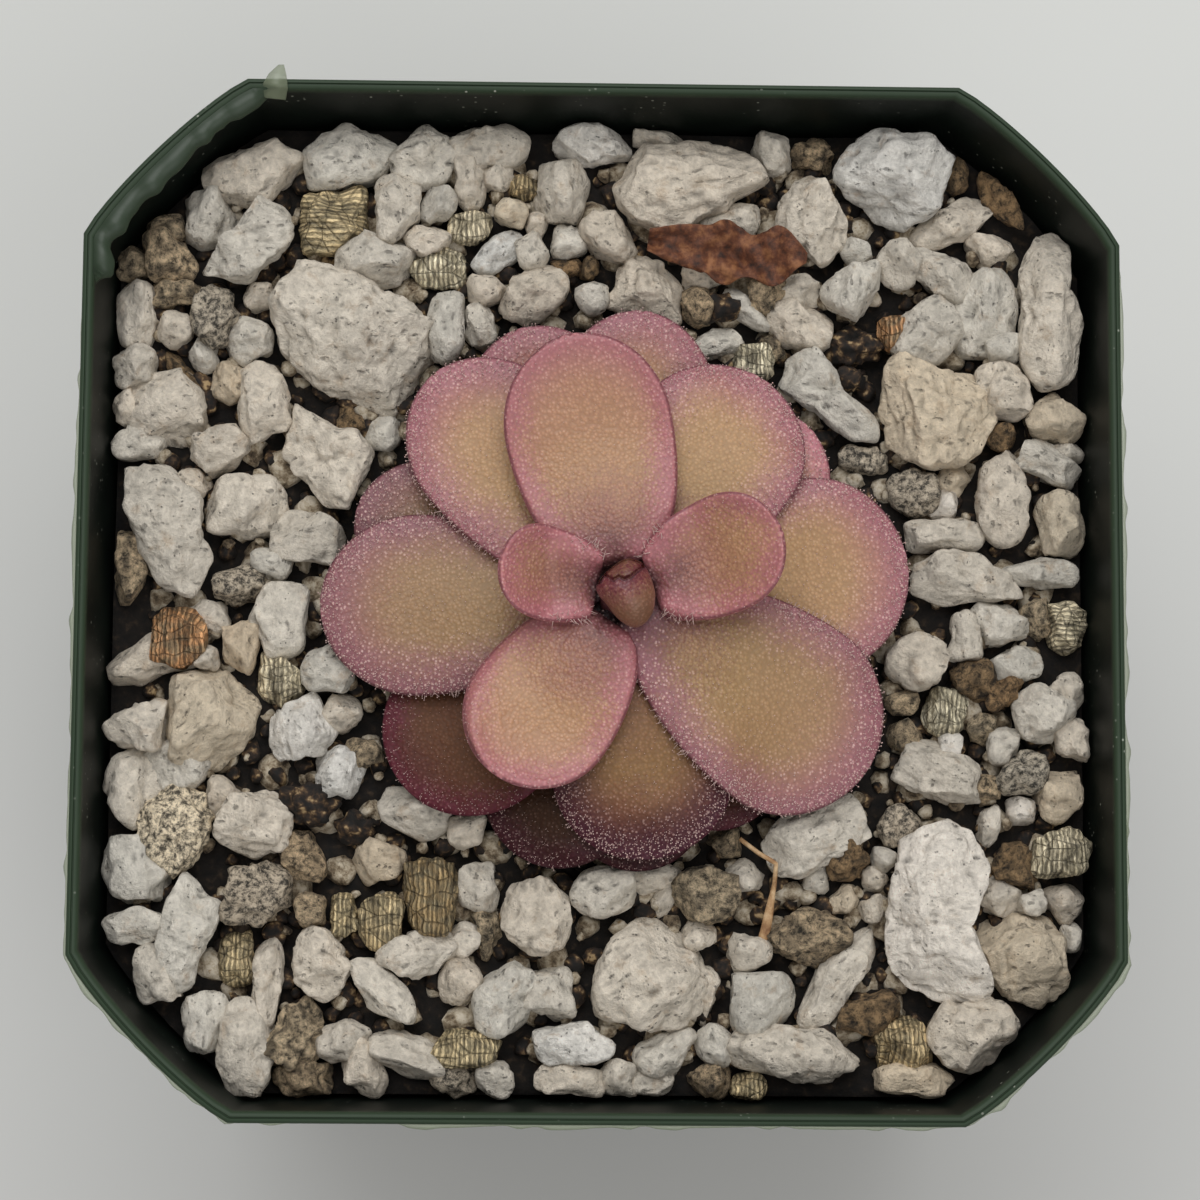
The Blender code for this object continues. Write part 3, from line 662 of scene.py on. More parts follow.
# %% speckled rock, weathered crumbs and bark
def clotted_finish(name, scale, detail, low, high, dark, hollow_shade, strength, depth_mm, roughness):
    """A stone that a coarse noise darkens and lightens; below 1, the hollow factor paints shade into its
    pits.
    """
    material, add, local, tint, pit = stone_finish(name, Roughness=roughness)
    clots = add("TexNoise", local, scale, detail, 0.8)
    value = add("MapRange", clots, low, high, dark, 1.7)
    if hollow_shade < 1:
        value = add("Math", value, add("MapRange", pit, 0.0, 1.0, 1.0, hollow_shade), operation="MULTIPLY")
    dress(material, add("VectorMath", tint, value, operation="SCALE"), clots, strength, depth_mm)
    return material


speckled_material = clotted_finish("speckled_rock", 1.9, 6.0, 0.42, 0.58, 0.1, 1.0, 0.8, 0.3, 0.75)
weathered_material = clotted_finish("weathered_crumb", 1.7, 7.0, 0.4, 0.6, 0.12, 0.3, 1.0, 0.7, 0.85)
bark_material = noise_finish("bark_crumb", 1500.0, 4.0, 0.5,
                             ((0.4, "#0c0806"), (0.52, "#2a1e15"), (0.6, "#54402b"), (0.68, "#a48c68")),
                             0.8, 0.2, Roughness=0.85)
GRAINS = {
    "w": ("pumice", "#f6f1e8", pumice_material, "pumice"),
    "p": ("pumice", "#e8dfd0", pumice_material, "pumice"),
    "c": ("pumice", "#e6d6bd", pumice_material, "pumice"),
    "t": ("crumbly", "#c0ab8c", weathered_material, "pumice"),
    "b": ("crumbly", "#957a58", weathered_material, "pumice"),
    "s": ("crumbly", "#a09584", speckled_material, "pumice"),
    "q": ("crumbly", "#beb39d", speckled_material, "pumice"),
    "l": ("vermiculite", "#efe3c4", vermiculite_material, "vermiculite"),
    "g": ("vermiculite", "#dfc89b", vermiculite_material, "vermiculite"),
    "v": ("vermiculite", "#a38a62", vermiculite_material, "vermiculite"),
    "o": ("vermiculite", "#cc9a6c", vermiculite_material, "vermiculite"),
    "k": ("clod", "#2a211a", bark_material, "growing_mix"),
}

# %% [markdown]
# The large stones lie one by one in the CAD model, each a node of its own. Each of them is replaced by a
# shaped stone in the same place. The table gives the node and the letter of its grain. Where the outline of
# a stone says what it is, such as the block with a step or the one with two ears, the outline follows, as
# places in millimetres from the middle of the pot. Three numbers are a plain stone's length, width and
# turn.

# %% the list of the large stones
LARGE_STONES = """
pumice_01/p -24.9 22.4 -22.7 25.6 -20.1 25.3 -14.2 22.6 -11.9 20.6 -12.1 18.6 -14.7 14.5 -16.3 13.7
    -20.1 15.5 -24.1 18.6
pumice_02/p -25.3 30.8 -22.9 28.5 -24.2 25.7 -26.2 23.7 -30.3 24.2 -29.3 25.7 -27 28.5
pumice_03/p -22.7 14.7 -19.6 12.8 -17.8 12.8 -16.8 11.2 -18.6 6.6 -20.6 7.1 -23.7 10.7
pumice_04/p -35.3 9.9 -31.8 10 -29.5 7.1 -28.6 3 -30 0.2 -32.1 0.5 -34.1 3.3 -35.4 6.8
pumice_05/p 0.3 31.8 2.6 35.2 7.7 35.3 11.2 34.6 12.9 32.1 9.9 30.6 9.4 29.8 5.6 27.5 1.5 29
pumice_06/p 15.3 33.1 12.8 30.3 13.3 27.8 16.6 25.3 18.7 27 18.1 30 16.8 32.3
pumice_07/w 20.9 36 19.1 35.6 17.2 32.9 18.4 30.8 20.4 28.8 22.7 28.3 25.5 30.3 26.4 33.9 24.5 35.6
pumice_08/p 34.4 29.5 35.5 28.3 35.3 24.2 36.2 21.6 36.4 19.6 35.7 17.3 33.2 16.4 31.6 18.3 31.5 22.1
    31.4 25.7 32.7 28.5
pumice_09/c 22.4 19.2 21.3 18.3 21.2 16.3 20.8 14.2 21.4 11.9 23 10.8 24.2 10.3 27.3 10.7 28.3 11.7 29.6 14
    29.1 16.8 28.1 17.6 26 17.8 23.7 18.3
pumice_10/p 15 19.8 16.3 19.3 17.9 17.6 18.4 15.8 20.7 14.2 20.8 12.2 18.9 12.4 16.3 14.2 13.8 16 13 16.8
    13.8 18.6
pumice_11/p 2.8 27.2 1.5 25.5 0.2 22.7 3 20.8 6.4 21.1 5.9 24.2 5.1 25.5
pumice_12/p 23.2 3.3 25.5 3.9 28.3 3.9 29.3 3 31.4 2 31.6 0.7 29.3 0.3 25.5 0 23.2 1
pumice_13/c 7.8 7.4 45
pumice_14/w 6.2 4.7 90
pumice_15/p -24.5 -13.8 -23.1 -14.4 -22.4 -15.9 -22.5 -17.5 -23.3 -18.6 -24.9 -19.3 -26.7 -18.9 -27.9 -18
    -28.2 -16.8 -27.5 -15.4 -26.8 -14.5 -25.7 -13.9
pumice_16/q -31.3 -13.3 -30.1 -13.6 -29 -14.5 -28.5 -16.4 -29 -18 -29.9 -19.6 -31.1 -20.6 -31.8 -20
    -32.5 -18.9 -33.3 -17.6 -33.6 -16.4 -33 -15 -32.1 -14
pumice_17/p -30.3 -20.4 -29.2 -20.8 -28.3 -21.8 -27.5 -22.9 -28.2 -24.9 -29.1 -26.7 -29.4 -28.5 -30.9 -29.5
    -31.6 -28.3 -31.8 -26.7 -32.1 -24.9 -31.7 -23.1 -31.4 -21.4
pumice_18/t 6 4 60
pumice_19/p -20.9 -23.8 -19.5 -24.3 -18.3 -25.5 -17.8 -27.3 -18.5 -28.9 -19.8 -29.8 -21 -29.4 -22.2 -28
    -22.4 -26.2 -22 -24.6
pumice_20/p 5.8 5.4 90
pumice_21/p 9 8.6 30
pumice_22/w 25.6 -15.7 23.4 -16.5 22.2 -17.7 21.5 -20.2 21.2 -23.8 21.2 -26.3 22.1 -28.4 24.3 -29.4
    26.7 -29.6 28.6 -29 28.7 -27.4 27.8 -25 27.5 -23.2 28.6 -20.4 28.6 -18.6 27.4 -16.7
pumice_23/c 27.7 -23 29.8 -22.9 33.2 -22.9 34.8 -24.7 34.9 -28 34.1 -29.5 32.9 -30 30.4 -29.3 28.9 -27.4
    28.1 -25.3
pumice_24/p 28.6 -28.7 26.1 -29.7 24.9 -31.4 24.7 -32.6 26.1 -34.4 27.9 -35.2 29.8 -34.4 31.5 -32.6
    31.5 -31.1 30.4 -29.6
pumice_25/p 10.2 4 -12
pumice_26/p 8.6 5 25
pumice_27/p 8.4 4 -18
vermiculite_01/v 4.6 6.4 0
"""


# %% the large stones, one for each CAD node
FINEST_STONES = ("pumice_01", "pumice_09", "pumice_22")
STONE_LEVEL = 61.0


def tinted(colour, rng):
    """A grain's colour with a small random change of lightness and warmth."""
    lightness = rng.uniform(0.9, 1.07)
    warmth = rng.uniform(-0.035, 0.035)
    red, green, blue, alpha = hex_colour(colour)
    return (red * lightness * (1 + warmth), green * lightness, blue * lightness * (1 - warmth), alpha)


def keep_in_pot(points):
    """Shift a stone along the plan until it lies inside the pot's inner wall."""
    room = pot_half_width(STONE_LEVEL) - WALL - 0.25
    corner = pot_plan(STONE_LEVEL, WALL).sum(axis=1).max() / math.sqrt(2) - 0.45
    for angle in range(0, 360, 45):
        direction = np.array((math.cos(math.radians(angle)), math.sin(math.radians(angle))))
        limit = room if angle % 90 == 0 else corner
        over = (points[:, :2] @ direction).max() - limit
        if over > 0:
            points[:, :2] -= over * direction
    return points


def stone_values(local, colour, pit_shades):
    """The named values of a stone's points that its material reads."""
    return {"local": local, "stone_colour": colour, "pit": pit_shades}


for index, (word, numbers) in enumerate(read_table(LARGE_STONES)):
    node, letter = word.split("/")
    kind, colour, material, slot = GRAINS[letter]
    low, high = (np.array(corner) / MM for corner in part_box(node))
    middle = (low + high) / 2
    length, width, turn = numbers[:3]
    outline = None
    if len(numbers) > 3:
        outline = np.reshape(numbers, (-1, 2))
        middle[:2] = (outline.max(axis=0) + outline.min(axis=0)) / 2
        outline = outline - middle[:2]
    points, faces, local, pit_shades = stone(kind, (length, width, high[2] - low[2]), turn, 900 + 17 * index,
                                       6 if node in FINEST_STONES else 5, outline)
    points = keep_in_pot(points + middle)
    points[:, 2] += high[2] - points[:, 2].max()
    tone = np.tile(tinted(colour, np.random.default_rng(300 + index)), (len(points), 1))
    mesh = mesh_from_arrays("stone_" + node, points, faces, stone_values(local, tone, pit_shades))
    piece(mesh, material, slot, node)
print("large stones:", index + 1)

# %% [markdown]
# Between the large stones lie some two hundred smaller ones. They are listed row by row: the letter of the
# grain, its place and its length, and then its width and its turn in degrees where they differ from the
# length and from 0. A small stone rests on the fill, so its top follows from its size. Stones of one finish
# share a mesh, which keeps the list of pieces short.

# %% the list of the smaller stones
SMALL_STONES = """
p -26.6 32.8 8.4 4.4 15  p -19.2 33.6 6.5 5.4  p -13.7 34 4.8  p -8.8 35 6.8 3.2  p -29.6 28.8 5.3 4.6 90
g -20 28.6 5 5.3 90  p -15.5 29.7 5 3.8 90  p -12.3 30.1 2.9 2.6 90  p -9.9 32.2 4.3 2.4 90  p -7.8 32.4 2.5
g -6 31.5 2.2  p -2.8 31.4 4.9 4.3 90  c -6.9 29.7 2.5  t -33.2 29 2.6 2.1  t -32.4 26 4 3.5 90
t -35.5 25.4 2.4  t -31.8 23.1 3.2 2.2  p -34.8 21.6 5 3.3 90  p -32 20.5 2.6  s -28.9 21.4 4.2 3.6 90
p -25.7 22.9 2.4  p -26.6 19.6 3.8 3.2  p -17 26 5.8 4.4  p -11.6 21 5.2 3.2 90  p -9.1 20.9 3.4 2.2 90
p -8.5 23.6 3 2.4  p -5.3 23.3 5.6 3.6 30  w -7.7 26.7 4.5 2.3 35  p -13 27.2 3.4 2.6  l -12.2 25.5 4 2.9
l -9.9 28.6 3 2.6  p -4.8 28.9 1.9  p -5.2 26.7 2.6  p -2.5 27.5 2.6  b -2.6 25.5 2.2 1.4 20
b -0.9 25.5 2 1.3 70  p -0.7 23.3 2.4  p -35.6 17.4 3.6 3.2  p -35.7 14.5 3 2 90  b -31.2 17 5 1.6 -50
p -29.8 18.7 3 2.4 90  c -27.9 16.5 3.2 2.9 90  p -32.2 14.4 5.8 5.6  p -25.2 14.5 6.6 4.2 90
p -34.7 11.8 3.8 2.6  p -28.4 11.3 4  b -18.8 13.8 2.5 1.8  p -16.1 12.6 2.6  p -26.3 7.1 6.2 5
p -21.6 4.7 5.6 4  s -26.8 1.4 4 3  p -24.3 2.7 2.8  t -34.8 2.2 6 2.5 90  p -30.2 8.7 2.4
w -0.8 35.6 5.4 3.4  p 4.2 35.7 4.4 1.5  p 13 34.6 3.4 3 90  t 16.2 34.5 3.2 2.7  b 27 32.8 2.5 1.6 90
b 30.2 30.9 5.4 1.9 -52  p 26.6 29.1 6.8 2.9 30  p 29.3 27.3 3.5 2.4  p 9.8 29 4.8 2.7  p 0.8 27.6 4 3.6
p 19.4 26.8 2.2  p 22.4 26.1 4 3.4 90  p 14.8 23.9 4 3  p 19.2 23.7 4.6 4.4 90  p 15.2 21.2 5 3.6
p 25.8 25 5.8 3.4 -25  p 28.5 22.4 6.6 5.2 90  p 24.2 20.6 6.6 4.2 40  o 22 20.6 2.6  k 19 19.6 4 3
k 19 17 2  p 30.3 19.7 3 2.8 90  p 30 16.2 4  p 11 22.3 4.3 1.6 -45  p 8.7 20 4.2 2.2  l 11.6 18.4 3
t 12.9 19.6 2  t 12.3 24 4 3 90  t 7.3 22.5 3 2.6 90  k 9 22.5 2.6 2.4  p 7.5 24.8 3 2.4  c 34 14.3 4.4 3.6
b 30 13 2.6 2  p 33.5 11 5.6 3 -30  p 35.4 11.8 2.5 2  p 30 8.5 7 4.2 90  s 23.5 8.6 3.5  c 26.5 9.7 2.6
w 25.7 7.6 2.5  c 34.6 6.2 5 3.6 90  p 25.6 5.3 5.6 2.6  p 33 2.6 5.8 2.3  t 32.5 -0.8 3 2.5 90
l 35 -1.2 4 3 90  s 19.8 11 3.5 2  p -34.3 -4.2 7.4 3.4 20  o -31.4 -2.9 4.5 4  p -28.7 -1.1 3 2.4
c -26.5 -3.2 4.4 2.8 90  p -23.6 -1.5 5.4 3.7 90  l -23.6 -5.9 4 3.6  p -29 -4.3 2  p -20 -5.2 3.6 3.4
w -19.2 -12.8 4.2 3.8  p -18.9 -8.3 2.7  t -17.4 -11.4 2.8  p -34.4 -9.4 4.5 4  p -31.2 -12 5.2 4
p -35.3 -13.8 6.2 4.2 90  p -27.6 -14.5 3 2.4 90  p -34.4 -20 5.6 5 90  p -33.9 -24.1 4.2 2.6
s -24.8 -21.6 5.4 4.6  k -21.2 -15 4 3  k -18 -16.7 2.6 2  p -13.5 -15.4 5.6 3.6 -30  p -9.6 -16.8 3 2.6
t -21.7 -19.1 4 3.2 90  c -16.2 -19.2 3.6  g -15.9 -23.3 3.6 4.2  t -20.9 -22.8 2.2  g -18.6 -23.3 2.3 3.2
p -8.7 -20.8 3.6 3.2 90  g -26.4 -26.2 2.9 4  p -24 -28 6.2 2.3 90  p -13 -26 5.6 3.6 20
p -9.7 -24.8 2.7 2.4  p -15.8 -28.6 6.5 3 -45  p -10 -28 3.4 3.2 90  t -8.1 -24.2 4 2 90
p -6.7 -29.2 5.2 4.2 90  p -3.4 -29 4.2 3.8 90  p -32.7 -28.6 4.9 3.7 90  p -29.2 -31.6 4.3 3.4 90
p -26.1 -33.1 6.8 4.1 90  t -21.2 -35 4 3.2  p -18.4 -32.3 4.2 2.9 15  p -17 -34.8 4.4 3.2 90
p -13.8 -33.2 5.6 3 -20  g -9.1 -32.6 5.6 2.8  s -10.3 -35.6 3.2 2.6  p -7.4 -35.2 2.6  w -1.8 -32.4 6 3
p -2 -35 5 2.8  t 8.3 -21.5 5 4.4  p 3.5 -20 5 2.5  p 0.5 -21.3 4.6 3.4  p 4.9 -22 2.6 1.8 90
p 10.9 -20.2 2.8 2.4  p 23.7 -4.1 4.8 4.2  p 27.3 -2.3 3.8 2.6 90  p 29.9 -1.1 4.3 3.2  p 31 -4.2 4 2.6
b 27.8 -5.6 3.4 3.2  b 30.2 -6.1 4 1.8 50  l 25.8 -8 3.3  t 22.6 -7 2.3  t 22.7 -9.8 2.3  t 28.6 -9.1 2.2
w 26 -10.8 2.4  p 32.8 -8 4.4 4 90  p 34.9 -6.2 3 2.6 90  p 35.4 -10 3.4 2.7 90  p 30 -10.3 3 2.4 90
s 31.2 -12.3 3.3  c 34.3 -13.8 4.3 3.4 90  t 28.7 -13.5 2  w 31.4 -15 2.2  p 29 -16.2 3 2 90
l 34 -18 4.2 4.4  b 30.9 -19.3 3.6 3.4  p 29.6 -21.5 3.2 3  p 32 -21.9 2  p 34.5 -21.9 3 2.8
p 35.1 -24.3 2.3 1.6 90  g 22.6 -32.4 4.8 4.6  b 19.8 -30 4.6 3.6  c 23 -34.9 6.3 2.5  t 15.2 -24.6 6.2 4.2
p 17.9 -27.4 9.4 3.2 55  p 11.9 -29.2 5.4 4.6 90  p 7.4 -24.4 2.8 2.2  p 8 -28.7 4.4 2.2 90
b 18.3 -18.6 3.4 2.8  p 21.1 -18.7 1.8  p 20.5 -20.2 1.8  p 20.4 -22.3 2.2  s 22.3 -16.5 3.4 2.6
p 16 -20.2 2  c 18.3 -21.7 2.6 2.2 90  t 9.6 -17.6 2.2  p 11 -25.5 3  p 1.7 -34.9 3 2.6
p 5.3 -32.9 4.6 3.2 35  p 4.2 -35 3.4 2  p 8.6 -32.5 3 2.7 90  t 8.3 -35.3 3 2.8  g 11.2 -35.7 2.6 2
"""
small_stones = read_table(SMALL_STONES)
print("small stones:", len(small_stones))

# %% the smaller stones, shaped and gathered by finish
STONE_GROWTH = 1.06
FINER_FROM = 3.1

gathered = {}
for index, (letter, numbers) in enumerate(small_stones):
    x, y, length, width, turn = numbers + [numbers[2], 0.0][len(numbers) - 3:]
    kind, colour, material, slot = GRAINS[letter]
    rng = np.random.default_rng(5000 + index)
    height = np.clip(0.85 * min(length, width) + 1.4, 2.8, 5.2)
    top = BED_HEIGHT + 0.8 * height + rng.uniform(-0.6, 0.7)
    size = (STONE_GROWTH * length, STONE_GROWTH * width, height)
    points, faces, local, pit_shades = stone(kind, size, turn, 2000 + 13 * index,
                                       3 if max(length, width) < FINER_FROM else 4)
    points = keep_in_pot(points + (x, y, 0))
    points[:, 2] += top - points[:, 2].max()
    tone = np.tile(tinted(colour, rng), (len(points), 1))
    gathered.setdefault(material.name, (material, slot, []))[2].append((points, faces, local, tone, pit_shades))

for key, (material, slot, parts) in gathered.items():
    points, faces, *values = zip(*parts)
    starts = np.cumsum([0] + [len(part) for part in points[:-1]])
    faces = np.vstack([part + start for part, start in zip(faces, starts)])
    mesh = mesh_from_arrays("small_" + key, np.vstack(points), faces,
                            stone_values(*map(np.concatenate, values)))
    piece(mesh, material, slot)
    print(key, len(parts), "stones,", len(faces), "triangles")

# %% [markdown]
# The finest crumbs fill the gaps. They repeat by the hundred, so Geometry Nodes scatter them: points are
# spread over the top of the fill with a fixed seed, each takes a copy of one rough little body, turned and
# scaled at random, and the result is made real and turned into a plain mesh.

# %% a geometry tree that scatters small bodies on a surface
SOCKET_KINDS = {float: "NodeSocketFloat", int: "NodeSocketInt", type(None): "NodeSocketMaterial"}
FULL_TURN = 6.28


def scatter_tree(name, **inputs):
    """Start a geometry tree with named inputs; return it with its way to add nodes and its inputs."""
    tree = bpy.data.node_groups.new(name, "GeometryNodeTree")
    tree.interface.new_socket("Geometry", in_out="INPUT", socket_type="NodeSocketGeometry")
    for label, value in inputs.items():
        socket = tree.interface.new_socket(label, in_out="INPUT", socket_type=SOCKET_KINDS[type(value)])
        if value is not None:
            socket.default_value = value
    tree.interface.new_socket("Geometry", in_out="OUTPUT", socket_type="NodeSocketGeometry")
    add = partial(add_node, tree)
    return tree, add, add("NodeGroupInput").outputs


def end_tree(add, copies, finish):
    """End a geometry tree: its copies are made real, get their material and leave the tree."""
    real = add("GeometryNodeRealizeInstances", copies)
    add("NodeGroupOutput", add("GeometryNodeSetMaterial", real, None, finish))


def grow_piece(name, tree, ground, material, slot, **values):
    """Run a geometry tree on a mesh with the given inputs, and make a piece of the plain mesh it gives."""
    item = new_object("ground", ground)
    change = item.modifiers.new("grow", "NODES")
    change.node_group = tree
    for socket in tree.interface.items_tree:
        if socket.in_out == "INPUT" and socket.name in values:
            change[socket.identifier] = values[socket.name]
        elif socket.name == "Finish":
            change[socket.identifier] = material
    item.update_tag()
    mesh = evaluated_mesh(name, item)
    mesh.shade_smooth()
    piece(mesh, material, slot)
    print(name, len(mesh.polygons), "faces")


crumb_tree, add, given = scatter_tree("crumbs", Spacing=0.85 * MM, Size=1.0 * MM, Density=400000.0, Seed=3,
                                      Finish=None)
spread = add("GeometryNodeDistributePointsOnFaces", given["Geometry"], None, given["Spacing"],
             given["Density"], None, given["Seed"], distribute_method="POISSON")
body = add("GeometryNodeMeshIcoSphere", 0.5, 2)
lumps = add("TexNoise", None, None, 1.7, 2.0, noise_dimensions="4D").outputs["Color"]
push = add("VectorMath", lumps, (0.5, 0.5, 0.5), operation="SUBTRACT")
lumpy = add("GeometryNodeSetPosition", body, None, None, push)
turn = add("FunctionNodeRandomValue", (0, 0, 0), (FULL_TURN,) * 3, None, given["Seed"],
           data_type="FLOAT_VECTOR")
vary = add("FunctionNodeRandomValue", 0.5, 1.35, None, given["Seed"])
scale = add("Math", vary, given["Size"], operation="MULTIPLY")
copies = add("GeometryNodeInstanceOnPoints", spread, None, lumpy, None, None, turn, scale)
end_tree(add, copies, given["Finish"])

# %% three layers of crumbs
CRUMB_ROOM = 34.6
CRUMBS = (
    ("dark_crumbs", 58.5, 1.1, 1.3, 3),
    ("lower_pebbles", 58.0, 2.4, 2.0, 5),
    ("pale_crumbs", 59.0, 2.2, 0.9, 8),
)

dust_material = noise_finish("pumice_dust_crumb", 650.0, 6.0, 0.7,
                             ((0.36, "#2f251b"), (0.45, "#7a6b56"), (0.54, "#b3a792"), (0.62, "#c9c0b0"),
                              (0.7, "#8c734c")), 1.0, 0.4, Roughness=0.9)
crumb_plan = bed_rim * (CRUMB_ROOM / pot_half_width(BED_HEIGHT))
for name, height, spacing, size, seed in CRUMBS:
    ground = mesh_from_arrays("patch", at_height(crumb_plan, height), [tuple(range(len(crumb_plan)))])
    grow_piece(name, crumb_tree, ground, bark_material if name == "dark_crumbs" else dust_material,
               "growing_mix", Spacing=spacing * MM, Size=size * MM, Seed=seed)

# %% [markdown]
# A butterwort's leaf is a thick, soft tongue: narrow where it leaves the crown, broad in its outer half,
# and round at the tip. The CAD leaf already gives the outline and the height at which each leaf lies on the
# ones below it. The finished leaf follows that surface, sampled from above and smoothed, on a fine grid of
# its own, with a rounded margin. The distance from the margin and from the crown are kept for the colours.
# The table gives each leaf's direction, its reach and width in millimetres, the share of its length where
# it is widest, how fast it broadens, and its tone: painted light and shade on its whole skin, below 1 as
# if the leaf lay in shade and above 1 as if it were lit.

# %% the list of the leaves
LEAVES = """
leaf_01 168 9.3 6.8 0.58 0.6 1.12  leaf_02 21 11.9 8.6 0.58 0.6 1.08  leaf_03 102.5 19.3 12.3 0.6 0.5 1
leaf_04 235 16.2 11.1 0.6 0.55 1.04  leaf_05 -35.5 21.8 14.6 0.66 0.8 0.87
leaf_06 182 22.2 13.4 0.66 0.8 0.77  leaf_07 130.3 21.8 12.5 0.66 0.8 1.07
leaf_08 58.5 19.4 13.1 0.66 0.8 1.08  leaf_09 7.6 21.1 14.4 0.66 0.8 1.05
leaf_10 -83.5 19.2 13.2 0.66 0.8 0.98  leaf_11 86.5 21.7 12 0.66 0.8 1  leaf_12 112 21.8 12.4 0.66 0.8 1.05
leaf_13 160.3 20.8 11.4 0.66 0.8 0.6  leaf_14 220.5 21.1 13.2 0.66 0.8 1  leaf_15 252.3 20.4 12 0.66 0.8 0.4
leaf_16 -85.5 19.9 11.4 0.66 0.8 0.4  leaf_17 -59.8 18.7 11.4 0.66 0.8 0.6
leaf_18 43.5 19 11.6 0.66 0.8 1.4  leaf_19 8 20.8 12 0.66 0.8 0.9
"""
leaves = {node: numbers for node, numbers in sorted(read_table(LEAVES))}
INNER = ("leaf_01", "leaf_02", "leaf_03", "leaf_04")
OUTER = ("leaf_05", "leaf_06", "leaf_07", "leaf_08", "leaf_09", "leaf_10")
# These back leaves are painted dark as shade.
SHADED_BACK = ("leaf_14", "leaf_15", "leaf_16", "leaf_17")
LIGHT_BACK = [node for node in leaves if node not in (*INNER, *OUTER, *SHADED_BACK)]
PLANT = np.array((1.7, 0.0))
print("leaves:", len(leaves))

# %% the outline of a leaf, and the surface that it follows
BASE_HALF = 2.2
CAD_BASE_HALF = 1.3
SKY = 0.1
PLANT_LEVEL = 0.065


def half_width(u, width, widest, fullness, base=BASE_HALF):
    """Half width of a leaf at a share u of its length."""
    rise = base + (width / 2 - base) * np.sin(math.pi / 2 * np.clip(u / widest, 0, 1)) ** fullness
    fall = width / 2 * np.sqrt(np.clip(1 - ((u - widest) / (1 - widest)) ** 2, 0, 1))
    return np.where(u < widest, rise, fall)


def node_tree_of(node):
    """A search tree over the surface of one CAD node."""
    mesh = frame["nodes"][node].data
    return BVHTree.FromPolygons([v.co for v in mesh.vertices], [p.vertices for p in mesh.polygons])


def height_above(tree, x, y):
    """Height in millimetres of the highest surface at a place, or of the nearest one."""
    hit = tree.ray_cast(Vector((x * MM, y * MM, SKY)), Vector((0, 0, -1)))[0]
    if hit is None:
        hit = tree.find_nearest(Vector((x * MM, y * MM, PLANT_LEVEL)))[0]
    return hit.z / MM


def even_out(grid, rounds):
    """Blur a grid of heights with its neighbours."""
    for _ in range(rounds):
        wide = np.pad(grid, 1, mode="edge")
        grid = (wide[:-2, 1:-1] + wide[2:, 1:-1] + wide[1:-1, :-2] + wide[1:-1, 2:] + 4 * grid) / 8
    return grid


def grid_faces(rows, columns, offset=0, flipped=False):
    """Quads of a grid of points, row after row."""
    faces = []
    for i in range(rows - 1):
        for j in range(columns - 1):
            a = offset + i * columns + j
            face = (a, a + 1, a + 1 + columns, a + columns)
            faces.append(face[::-1] if flipped else face)
    return faces


# %% one leaf as a closed, rounded skin
LEAF_START = 0.9
INNER_START = {"leaf_01": 2.0, "leaf_02": 2.05, "leaf_03": 2.2, "leaf_04": 2.2}
CAD_START = 2.4
CAD_INNER_START = 2.8
LEAF_ROWS = 50
LEAF_COLUMNS = 33
MARGIN_POINTS = 260
THICKNESS = 0.85
ROUNDING = 0.5
DROOP_ROOM = 1.6


